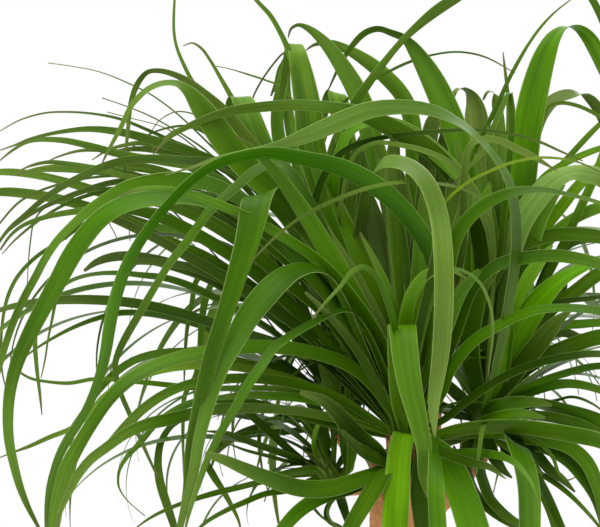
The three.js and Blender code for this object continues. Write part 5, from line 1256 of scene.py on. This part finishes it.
def makeTrunk(material):
    noise.seed_set(trunkForm["seed"])
    rows = splined(trunkForm["profile"], trunkForm["rows"])
    profile = [(0, trunkForm["foot"] / 1000)] + [(row.x / 1000, row.z / 1000) for row in rows]
    profile += [(0, trunkForm["top"] / 1000)]
    body = latheMesh("trunkBody", profile, trunkForm["sides"], material)
    for vertex in body.data.vertices:
        x, y, z = vertex.co
        radius = math.hypot(x, y)
        if radius < 0.001:
            continue
        angle, height = math.atan2(y, x), z * 1000
        shown = smoothStep(height, *trunkForm["lumpStart"])
        shown *= 1 - smoothStep(height, *trunkForm["lumpEnd"])
        folds = sum(strength * math.sin(count * angle + height * turn)
                    for count, turn, strength in trunkForm["folds"])
        grown = 1 + trunkForm["lump"] / 1000 * shown * folds / radius
        vertex.co = (x * grown, y * grown, z)
    parts = [body]
    for head in leafHeads:
        knots = [point / 1000 for point in branchLine(head)]
        radius = branchGirth(head) / 1000
        radii = [share * radius for share in trunkForm["branchTaper"]]
        vertices, faces = tubeBetween(knots, radii, trunkForm["branchSides"], trunkForm["branchRows"])
        parts.append(objectFrom(head + "Branch", vertices, faces, material))
    joined = bmesh.new()
    for part in parts:
        mesh = part.data
        joined.from_mesh(mesh)
        bpy.data.objects.remove(part)
        bpy.data.meshes.remove(mesh)
    mesh = bpy.data.meshes.new("trunkParts")
    joined.to_mesh(mesh)
    joined.free()
    mesh.materials.append(material)

    # body and branches grow together, and the bark is pressed into their skin
    source = linked("trunkParts", mesh)
    remesh = source.modifiers.new("fuse", "REMESH")
    remesh.mode = "VOXEL"
    remesh.voxel_size = trunkForm["voxel"]
    remesh.adaptivity = 0
    source.modifiers.new("soften", "SMOOTH").iterations = trunkForm["softening"]
    trunk = applyModifiers(source, "corkyTrunk")
    marks = {"crack": [], "scar": []}
    fine, strong = trunkForm["grain"]
    normals = [vertex.normal.copy() for vertex in trunk.data.vertices]
    for vertex, normal in zip(trunk.data.vertices, normals):
        crack, scar = barkRelief(vertex.co)
        rough = noise.fractal(vertex.co * fine, 1.0, 2.0, 3)
        depth = crack * trunkForm["crackDepth"] + scar * trunkForm["ringDepth"] - rough * strong
        vertex.co = vertex.co - normal * depth
        marks["crack"].append(crack)
        marks["scar"].append(scar)
    for label, values in marks.items():
        trunk.data.attributes.new(label, "FLOAT", "POINT").data.foreach_set("value", values)
    trunk.data.shade_smooth()
    print("trunk:", len(trunk.data.polygons), "faces")
    return trunk


# Bark: dry cork, tan with darker cracks below, smoother ringed skin above

barkFinish = {
    "cork": "#a98a68",
    "corkDark": "#86694f",
    "skin": "#c99a66",
    "skinFrom": (0.24, 0.33),
    "skinWarm": "#b9743f",
    "husk": "#7d4a2b",  # dry leaf scars on the branches, close to the heads
    "huskFrom": (0.478, 0.494),
    "coarse": "#a58a72",
    "grainSize": 0.0025,
    "patchSize": 0.03,
}


def barkMaterial():
    material, tree = newMaterial("dryCorkBark")
    place = addNode(tree, "ShaderNodeTexCoord").outputs["Object"]
    grain = addNode(tree, "ShaderNodeTexNoise", {
        "Vector": place, "Scale": 1 / barkFinish["grainSize"], "Detail": 3.0}).outputs["Fac"]
    patches = addNode(tree, "ShaderNodeTexNoise", {
        "Vector": place, "Scale": 1 / barkFinish["patchSize"], "Detail": 2.0}).outputs["Fac"]
    height = addNode(tree, "ShaderNodeSeparateXYZ", {0: place}).outputs["Z"]
    crack = addNode(tree, "ShaderNodeAttribute", attribute_name="crack").outputs["Fac"]
    scar = addNode(tree, "ShaderNodeAttribute", attribute_name="scar").outputs["Fac"]
    colour = paintLayers(tree, linearColour(barkFinish["cork"]), [
        ("MIX", height, *barkFinish["skinFrom"], 0, 1, barkFinish["skin"]),
        ("MIX", patches, 0.42, 0.66, 0, 0.7, barkFinish["skinWarm"]),
        ("MIX", height, *barkFinish["huskFrom"], 0, 0.85, barkFinish["husk"]),
        ("MULTIPLY", grain, 0.35, 0.7, 0.5, 0, barkFinish["coarse"]),
        ("MIX", crack, 0, 1, 0, 1, barkFinish["corkDark"]),
        ("MIX", scar, 0, 1, 0, 0.45, barkFinish["corkDark"]),
    ])
    bump = addNode(tree, "ShaderNodeBump", {"Height": grain, "Strength": 0.5, "Distance": 0.0008})
    bark = addNode(tree, "ShaderNodeBsdfPrincipled", {
        "Base Color": colour, "Roughness": 0.88, "Specular IOR Level": 0.3, "Normal": bump.outputs[0]})
    addNode(tree, "ShaderNodeOutputMaterial", {"Surface": bark.outputs[0]})
    return material


trunkPiece = makeTrunk(barkMaterial())
print("trunk made")

# Leaf bases: green ones packed into each head, dry brown ones left on the branch below it

sheathForm = {
    "sides": 8,
    "samples": 9,
    "gutter": 0.9,
    "thickness": 0.06,
    "bendPower": 1.4,
    "clasp": 0.75,  # width at the root over full width
    "tornFrom": 0.6,  # the part of the length that narrows to the torn end
    "tornEnd": 1.04,  # where it would come to a point, as a share of the length
    "tornPower": 0.7,
    "upright": 1.2,  # how much a head's sheaths keep to the vertical against its branch
    "stray": 0.2,  # of the step from sheath to sheath
    "firstSerial": 1000,  # so that each sheath has a tone of its own
    # ring heights below the head's middle (mm) and the heads whose rings differ, sheaths in a
    # ring, length and width from and to (mm), lean outwards (degrees) and how far out they
    # stand (share of the branch's radius)
    "dry": {"rings": (53, 48, 43, 38, 33, 28, 23, 18), "others": {"left": ()}, "count": 8,
            "length": (15, 29), "width": (8, 14), "lean": (6, 40), "out": (0.86, 1.0)},
    "green": {"rings": (16, 11, 6, 1), "others": {"left": (42, 36, 30, 24, 16, 11, 6, 1)}, "count": 8,
              "length": (30, 60), "width": (8, 13), "lean": (8, 34), "out": (0.6, 0.95)},
    "alongBranch": 18,  # rings as low as this sit round the bent branch
    "knotsPerMm": 0.05,  # how far down the branch's line they follow
    "hungOver": ("front", "right"),  # their own leaves cover the side towards the viewer
    "seed": 41,
}


def sheathStations(root, along, out, length, width, lean):
    # clasping at the root, then leaning out and running to a torn point
    across = along.cross(out)
    samples = sheathForm["samples"]
    point, stations = root.copy(), []
    for i in range(samples + 1):
        u = i / samples
        pitch = lean * u ** sheathForm["bendPower"]
        torn = min(1, (sheathForm["tornEnd"] - u) / sheathForm["tornFrom"]) ** sheathForm["tornPower"]
        half = width / 2 * min(1, sheathForm["clasp"] + u) * torn
        stations.append((point.copy(), half, across, u))
        point = point + (along * math.cos(pitch) + out * math.sin(pitch)) * (length / samples)
    return stations


def makeSheaths(kind, name, material):
    form, chance = sheathForm[kind], random.Random(sheathForm["seed"])
    stray, upright = sheathForm["stray"], Vector((0, 0, sheathForm["upright"]))
    leaves = []
    for head, branch in trunkForm["branches"].items():
        size = branch[0]
        knots = branchLine(head)
        along = ((knots[-1] - knots[-2]).normalized() + upright).normalized()
        east = Vector((0, 1, 0)).cross(along).normalized()
        north = along.cross(east)
        for row, below in enumerate(form["others"].get(head, form["rings"])):
            if below >= sheathForm["alongBranch"]:
                back = (below - sheathForm["alongBranch"]) * sheathForm["knotsPerMm"]
                middle = curvePoint(knots, len(knots) - 1 - back)[0]
            else:
                middle = headPoint(head) * 1000 - along * (below * size)
            for i in range(form["count"]):
                angle = 2 * math.pi * (i + row / 2 + chance.uniform(-stray, stray)) / form["count"]
                out = east * math.cos(angle) + north * math.sin(angle)
                root = middle + out * (branchGirth(head) * chance.uniform(*form["out"]))
                length, width = (chance.uniform(*form[k]) * size / 1000 for k in ("length", "width"))
                lean = math.radians(chance.uniform(*form["lean"]))
                if head not in sheathForm["hungOver"] or out.y > 0:
                    stations = sheathStations(root / 1000, along, out, length, width, lean)
                    leaves.append((sheathForm["firstSerial"] + len(leaves), "sheath", stations))
    lines = leafLines(name + "Lines", leaves)
    addModifierTree(lines, strapBlades, {
        "Sides": sheathForm["sides"], "Gutter": sheathForm["gutter"],
        "Thickness": sheathForm["thickness"], "Material": material})
    sheaths = applyModifiers(lines, name)
    print(name + ":", len(leaves), "sheaths,", len(sheaths.data.polygons), "faces")
    return sheaths


# Dry sheath: papery and fibrous, red-brown with straw-coloured streaks

huskFinish = {
    "husk": "#8d4f2c",
    "straw": "#c79a5c",
    "dark": "#4b2a1a",
    "fibreSpacing": 0.0007,
    "fibreLength": 0.02,
    "patchSize": 0.009,
}


def huskMaterial():
    material, tree = newMaterial("dryPaperyHusk")
    leafMap = addNode(tree, "ShaderNodeUVMap", uv_map="bladeMap").outputs[0]
    seed = addNode(tree, "ShaderNodeAttribute", attribute_name="leafSeed").outputs["Fac"]
    apart = addNode(tree, "ShaderNodeMapRange", {"Value": seed, "To Max": 9.0})
    shift = addNode(tree, "ShaderNodeCombineXYZ", {"Z": apart.outputs[0]})
    moved = addNode(tree, "ShaderNodeVectorMath", {0: leafMap, 1: shift.outputs[0]}, operation="ADD")
    stretched = addNode(tree, "ShaderNodeMapping", {
        "Vector": moved.outputs[0],
        "Scale": (1 / huskFinish["fibreSpacing"], 1 / huskFinish["fibreLength"], 1)})
    fibres = addNode(tree, "ShaderNodeTexNoise", {
        "Vector": stretched.outputs[0], "Scale": 1.0, "Detail": 2.0}).outputs["Fac"]
    patches = addNode(tree, "ShaderNodeTexNoise", {
        "Vector": moved.outputs[0], "Scale": 1 / huskFinish["patchSize"], "Detail": 1.0}).outputs["Fac"]
    colour = paintLayers(tree, linearColour(huskFinish["husk"]), [
        ("MIX", patches, 0.42, 0.68, 0, 0.8, huskFinish["straw"]),
        ("MIX", fibres, 0.52, 0.3, 0, 0.75, huskFinish["dark"]),
    ])
    bump = addNode(tree, "ShaderNodeBump", {"Height": fibres, "Strength": 0.5, "Distance": 0.0004})
    paper = addNode(tree, "ShaderNodeBsdfPrincipled", {
        "Base Color": colour, "Roughness": 0.72, "Specular IOR Level": 0.25, "Normal": bump.outputs[0]})
    addNode(tree, "ShaderNodeOutputMaterial", {"Surface": paper.outputs[0]})
    return material


dryPiece = makeSheaths("dry", "dryLeafSheaths", huskMaterial())
greenBasePiece = makeSheaths("green", "packedLeafBases", leafCuticle)
print("sheaths made")

# Pot: a plain thrown clay flowerpot with a rim and three drain holes

potForm = {
    "height": 0.175,
    "baseRadius": 0.074,
    "rimRadius": 0.103,
    "bodyTopRadius": 0.094,
    "wall": 0.007,
    "floor": 0.009,
    "rimHeight": 0.027,
    "rimRound": 0.003,
    "footRound": 0.0025,
    "sides": 160,
    "drainCount": 3,
    "drainRadius": 0.006,
    "drainRing": 0.036,
    "drill": (-0.01, 0.02),  # heights that the cutting drill reaches from and to
    "drillSides": 32,
    "sharpFrom": 35,  # degrees
    "rows": 40,
    "throwing": 0.00012,  # height of the fine rings that a turning wheel leaves
    "turn": 1.7,  # radians of such a ring from row to row
}


def innerRadius(height):
    slope = (potForm["bodyTopRadius"] - potForm["baseRadius"]) / potForm["height"]
    return potForm["baseRadius"] + slope * height - potForm["wall"]


def arcPoints(centre, radius, start, end, steps=5):
    angles = [math.radians(mix(start, end, i / steps)) for i in range(steps + 1)]
    return [(centre[0] + radius * math.cos(a), centre[1] + radius * math.sin(a)) for a in angles]


def makePot(material):
    top, rimLow = potForm["height"], potForm["height"] - potForm["rimHeight"]
    base, rim, lip, foot = (potForm[k] for k in ("baseRadius", "rimRadius", "rimRound", "footRound"))
    inside = innerRadius(top)
    profile = [(0, 0), (base - foot, 0)]
    profile += arcPoints((base - foot, foot), foot, -80, 0)
    bodyTop = innerRadius(rimLow) + potForm["wall"]
    for i in range(1, potForm["rows"]):
        share = i / potForm["rows"]
        ring = potForm["throwing"] * math.sin(i * potForm["turn"]) * math.sin(math.pi * share)
        profile.append((mix(base, bodyTop, share) + ring, mix(foot, rimLow, share)))
    profile += [(bodyTop, rimLow), (rim - lip, rimLow)]
    profile += arcPoints((rim - lip, rimLow + lip), lip, -85, 0)
    profile += arcPoints((rim - lip, top - lip), lip, 0, 90)
    profile += arcPoints((inside + lip, top - lip), lip, 90, 180)
    profile += [(innerRadius(potForm["floor"]), potForm["floor"]), (0, potForm["floor"])]
    pot = latheMesh("potBody", profile, potForm["sides"], material)
    bore, ring, drills = potForm["drainRadius"], potForm["drainRing"], []
    low, high = potForm["drill"]
    for i in range(potForm["drainCount"]):
        angle = 2 * math.pi * i / potForm["drainCount"]
        rod = [(0, low), (bore, low), (bore, high), (0, high)]
        drill = latheMesh("drill", rod, potForm["drillSides"], material)
        shift = Vector((ring * math.cos(angle), ring * math.sin(angle), 0))
        for vertex in drill.data.vertices:
            vertex.co = vertex.co + shift
        cut = pot.modifiers.new("drain", "BOOLEAN")
        cut.operation = "DIFFERENCE"
        cut.object = drill
        drills.append(drill)
    result = applyModifiers(pot, "clayPot")
    for drill in drills:
        bpy.data.objects.remove(drill)
    result.data.shade_smooth()
    result.data.set_sharp_from_angle(angle=math.radians(potForm["sharpFrom"]))
    return result


# Terracotta: unglazed earthenware, matt and warm, with fine grit and a dusty bloom

clayFinish = {
    "clay": "#b5683f",
    "clayLight": "#bf7750",
    "bloom": "#cda285",
    "gritDark": "#8a4a2c",
    "grit": 0.0009,
    "patch": 0.035,
    "roughness": (0.78, 0.92),
}


def clayMaterial():
    material, tree = newMaterial("firedTerracotta")
    place = addNode(tree, "ShaderNodeTexCoord").outputs["Object"]
    grit = addNode(tree, "ShaderNodeTexNoise", {
        "Vector": place, "Scale": 1 / clayFinish["grit"], "Detail": 2.0}).outputs["Fac"]
    squeezed = addNode(tree, "ShaderNodeMapping", {"Vector": place, "Scale": (1, 1, 2.2)}).outputs[0]
    patch = addNode(tree, "ShaderNodeTexNoise", {
        "Vector": squeezed, "Scale": 1 / clayFinish["patch"], "Detail": 4.0}).outputs["Fac"]
    colour = paintLayers(tree, linearColour(clayFinish["clay"]), [
        ("MIX", patch, 0.35, 0.7, 0, 1, clayFinish["clayLight"]),
        ("MIX", patch, 0.6, 0.8, 0, 0.3, clayFinish["bloom"]),
        ("MIX", grit, 0.55, 0.75, 0, 0.25, clayFinish["gritDark"]),
    ])
    smoothest, roughest = clayFinish["roughness"]
    roughness = addNode(tree, "ShaderNodeMapRange", {
        "Value": patch, "From Min": 0.3, "From Max": 0.7, "To Min": smoothest, "To Max": roughest})
    bump = addNode(tree, "ShaderNodeBump", {"Height": grit, "Strength": 0.35, "Distance": 0.0003})
    clay = addNode(tree, "ShaderNodeBsdfPrincipled", {
        "Base Color": colour, "Roughness": roughness.outputs[0], "Specular IOR Level": 0.3,
        "Normal": bump.outputs[0]})
    addNode(tree, "ShaderNodeOutputMaterial", {"Surface": clay.outputs[0]})
    return material


potPiece = makePot(clayMaterial())
print("pot made")

# Soil: a low mound of crumbly potting mix, with crumbs and bark chips scattered on it

soilForm = {
    "top": 0.152,
    "mound": 0.005,
    "shoulder": 0.75,  # share of the radius from which the mound falls away
    "edgeDrop": 0.004,
    "seat": 0.0008,
    "rings": 44,
    "sides": 120,
    "roughness": 0.0016,
    "crumbs": 16000,  # for each square metre
    "crumbSize": (0.0012, 0.0042),
    "crumbDents": (1.3, 1.6),  # how fine and how strong
    "lumpScale": 90,
    "seed": 4,
}


def crumbTree():
    tree, given = newTree("scatteredCrumbs", [
        ("Density", "NodeSocketFloat", soilForm["crumbs"]),
        ("Smallest", "NodeSocketFloat", soilForm["crumbSize"][0]),
        ("Largest", "NodeSocketFloat", soilForm["crumbSize"][1]),
        ("Seed", "NodeSocketInt", soilForm["seed"]),
        ("Material", "NodeSocketMaterial", None),
    ])
    area = addNode(tree, "GeometryNodeInputNamedAttribute", {"Name": "crumbArea"}, data_type="FLOAT")
    onTop = addNode(tree, "FunctionNodeCompare", {0: area.outputs[0], 1: 0.5}, data_type="FLOAT")
    spots = addNode(tree, "GeometryNodeDistributePointsOnFaces", {
        "Mesh": given["Geometry"], "Selection": onTop.outputs[0], "Density": given["Density"],
        "Seed": given["Seed"]})

    # a crumb: a small ball pushed out of shape
    fine, strong = soilForm["crumbDents"]
    lump = addNode(tree, "GeometryNodeMeshIcoSphere", {"Radius": 1.0, "Subdivisions": 2})
    wobble = addNode(tree, "ShaderNodeTexNoise", {"Scale": fine, "Detail": 1.0}).outputs["Color"]
    centred = addNode(tree, "ShaderNodeVectorMath", {0: wobble, 1: (0.5, 0.5, 0.5)}, operation="SUBTRACT")
    pushed = addNode(tree, "ShaderNodeVectorMath", {
        0: centred.outputs[0], "Scale": strong}, operation="SCALE")
    crumb = addNode(tree, "GeometryNodeSetPosition", {
        "Geometry": lump.outputs[0], "Offset": pushed.outputs[0]})
    size = addNode(tree, "FunctionNodeRandomValue", {
        2: given["Smallest"], 3: given["Largest"], "Seed": given["Seed"]}, data_type="FLOAT")
    spin = addNode(tree, "FunctionNodeRandomValue", {1: [math.tau] * 3}, data_type="FLOAT_VECTOR")
    placed = addNode(tree, "GeometryNodeInstanceOnPoints", {
        "Points": spots.outputs[0], "Instance": crumb.outputs[0], "Rotation": spin.outputs[0],
        "Scale": size.outputs[1]})
    real = addNode(tree, "GeometryNodeRealizeInstances", {"Geometry": placed.outputs[0]})
    done = addNode(tree, "GeometryNodeSetMaterial", {
        "Geometry": real.outputs[0], "Material": given["Material"]})
    addNode(tree, "NodeGroupOutput", {"Geometry": done.outputs[0]})
    return tree


def soilHeight(x, y):
    radius = math.hypot(x, y) / innerRadius(soilForm["top"])
    crown = soilForm["mound"] * (1 - smoothStep(radius, soilForm["shoulder"], 1.0))
    place = Vector((x, y, 0)) * soilForm["lumpScale"]
    lumps = noise.fractal(place, 1.0, 2.0, 4) * soilForm["roughness"]
    return soilForm["top"] + crown + lumps - soilForm["roughness"]


def makeSoil(material):
    top, seat, rings = soilForm["top"], soilForm["seat"], soilForm["rings"]
    outer, low = innerRadius(top) - seat, potForm["floor"] + seat
    profile = [(0, low), (innerRadius(low) - seat, low), (outer, top - soilForm["edgeDrop"])]
    profile += [(outer * (1 - i / rings), top) for i in range(rings)] + [(0, top)]
    soil = latheMesh("pottingSoil", profile, soilForm["sides"], material)
    for vertex in soil.data.vertices:
        if vertex.co.z > top - 0.001:
            vertex.co.z = soilHeight(vertex.co.x, vertex.co.y)
    soil.data.shade_flat()
    area = soil.data.attributes.new("crumbArea", "FLOAT", "FACE")
    area.data.foreach_set("value", [1.0 if p.normal.z > 0.5 else 0.0 for p in soil.data.polygons])
    return soil


def makeCrumbs(soil, tree, material):
    source = linked("crumbGround", soil.data.copy())
    addModifierTree(source, tree, {"Material": material})
    crumbs = applyModifiers(source, "soilCrumbs")
    print("crumbs:", len(crumbs.data.polygons), "faces")
    return crumbs


# Damp peat and bark fines: nearly black, with paler dry bits

earthFinish = {  # dark and pale colour, and size of the bits
    "dampPeat": ("#1d130c", "#4b3524", 0.004),
    "barkFines": ("#2a1b12", "#6e5138", 0.006),
}


def earthMaterial(name):
    dark, pale, size = earthFinish[name]
    material, tree = newMaterial(name)
    place = addNode(tree, "ShaderNodeTexCoord").outputs["Object"]
    bits = addNode(tree, "ShaderNodeTexNoise", {
        "Vector": place, "Scale": 1 / size, "Detail": 4.0}).outputs["Fac"]
    colour = paintLayers(tree, linearColour(dark), [("MIX", bits, 0.4, 0.68, 0, 1, pale)])
    bump = addNode(tree, "ShaderNodeBump", {"Height": bits, "Strength": 0.8, "Distance": 0.001})
    earth = addNode(tree, "ShaderNodeBsdfPrincipled", {
        "Base Color": colour, "Roughness": 0.95, "Specular IOR Level": 0.2, "Normal": bump.outputs[0]})
    addNode(tree, "ShaderNodeOutputMaterial", {"Surface": earth.outputs[0]})
    return material


soilPiece = makeSoil(earthMaterial("dampPeat"))
crumbPiece = makeCrumbs(soilPiece, crumbTree(), earthMaterial("barkFines"))
print("soil made")

# Stage: pale floor, white surroundings that are brighter overhead, and soft lamps

stageLight = {
    "horizon": 1.0,
    "overhead": 1.9,
    "overheadFrom": 0.2,  # height on the unit sky from which it brightens
    "below": 0.55,
    "belowTo": -0.3,
    "lamps": [  # name, place, size, power
        ("topLamp", (-0.5, -0.3, 2.2), 1.6, 26),
        ("backLamp", (0.5, 1.6, 1.6), 1.2, 14),
        ("frontLamp", (-1.2, -1.8, 1.2), 1.2, 8),
    ],
    "floor": "#e6e4e0",
    "floorRadius": 1.1,
    "floorSides": 96,
    "floorTop": -0.0005,
    "floorUnder": -0.02,
}


def makeStage():
    world = bpy.data.worlds.new("whiteStudio")
    world.use_nodes = True
    tree = world.node_tree
    tree.nodes.clear()
    sky = addNode(tree, "ShaderNodeTexCoord").outputs["Generated"]
    height = addNode(tree, "ShaderNodeSeparateXYZ", {0: sky}).outputs["Z"]
    above = addNode(tree, "ShaderNodeMapRange", {
        "Value": height, "From Min": stageLight["overheadFrom"],
        "To Min": stageLight["horizon"], "To Max": stageLight["overhead"]})
    under = addNode(tree, "ShaderNodeMapRange", {
        "Value": height, "From Min": -1, "From Max": stageLight["belowTo"],
        "To Min": stageLight["below"]})
    strength = addNode(tree, "ShaderNodeMath", {
        0: above.outputs[0], 1: under.outputs[0]}, operation="MULTIPLY")
    white = addNode(tree, "ShaderNodeBackground", {
        "Color": (1, 1, 1, 1), "Strength": strength.outputs[0]})
    addNode(tree, "ShaderNodeOutputWorld", {"Surface": white.outputs[0]})
    bpy.context.scene.world = world
    for name, place, size, power in stageLight["lamps"]:
        data = bpy.data.lights.new(name, "AREA")
        data.shape = "DISK"
        data.size = size
        data.energy = power
        lamp = linked(name, data)
        lamp.location = place
        lamp.rotation_euler = (photoView["aim"] - Vector(place)).to_track_quat("-Z", "Y").to_euler()
    material, tree = newMaterial("palePaperFloor")
    paint = addNode(tree, "ShaderNodeBsdfPrincipled", {
        "Base Color": linearColour(stageLight["floor"]), "Roughness": 0.8})
    addNode(tree, "ShaderNodeOutputMaterial", {"Surface": paint.outputs[0]})
    radius, top, under = (stageLight[k] for k in ("floorRadius", "floorTop", "floorUnder"))
    profile = [(0, under), (radius, under), (radius, top), (0, top)]
    latheMesh("paleFloor", profile, stageLight["floorSides"], material, smooth=False)
    bpy.context.scene.view_settings.view_transform = "Standard"


makeStage()
print("stage set")

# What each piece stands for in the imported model, and the finish it takes

standsFor = [(piece, "leaf_crown", "green_leaf") for piece in leafPieces]
standsFor += [
    (greenBasePiece, "leaf_crown", "green_leaf"),
    (trunkPiece, "trunk", "corky_bark"),
    (dryPiece, "trunk", "dry_sheath"),
    (potPiece, "pot", "pot_clay"),
    (soilPiece, "soil", "potting_soil"),
    (crumbPiece, "soil", "potting_soil"),
]
for piece, node, slot in standsFor:
    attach(piece, "root")
    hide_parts(node)
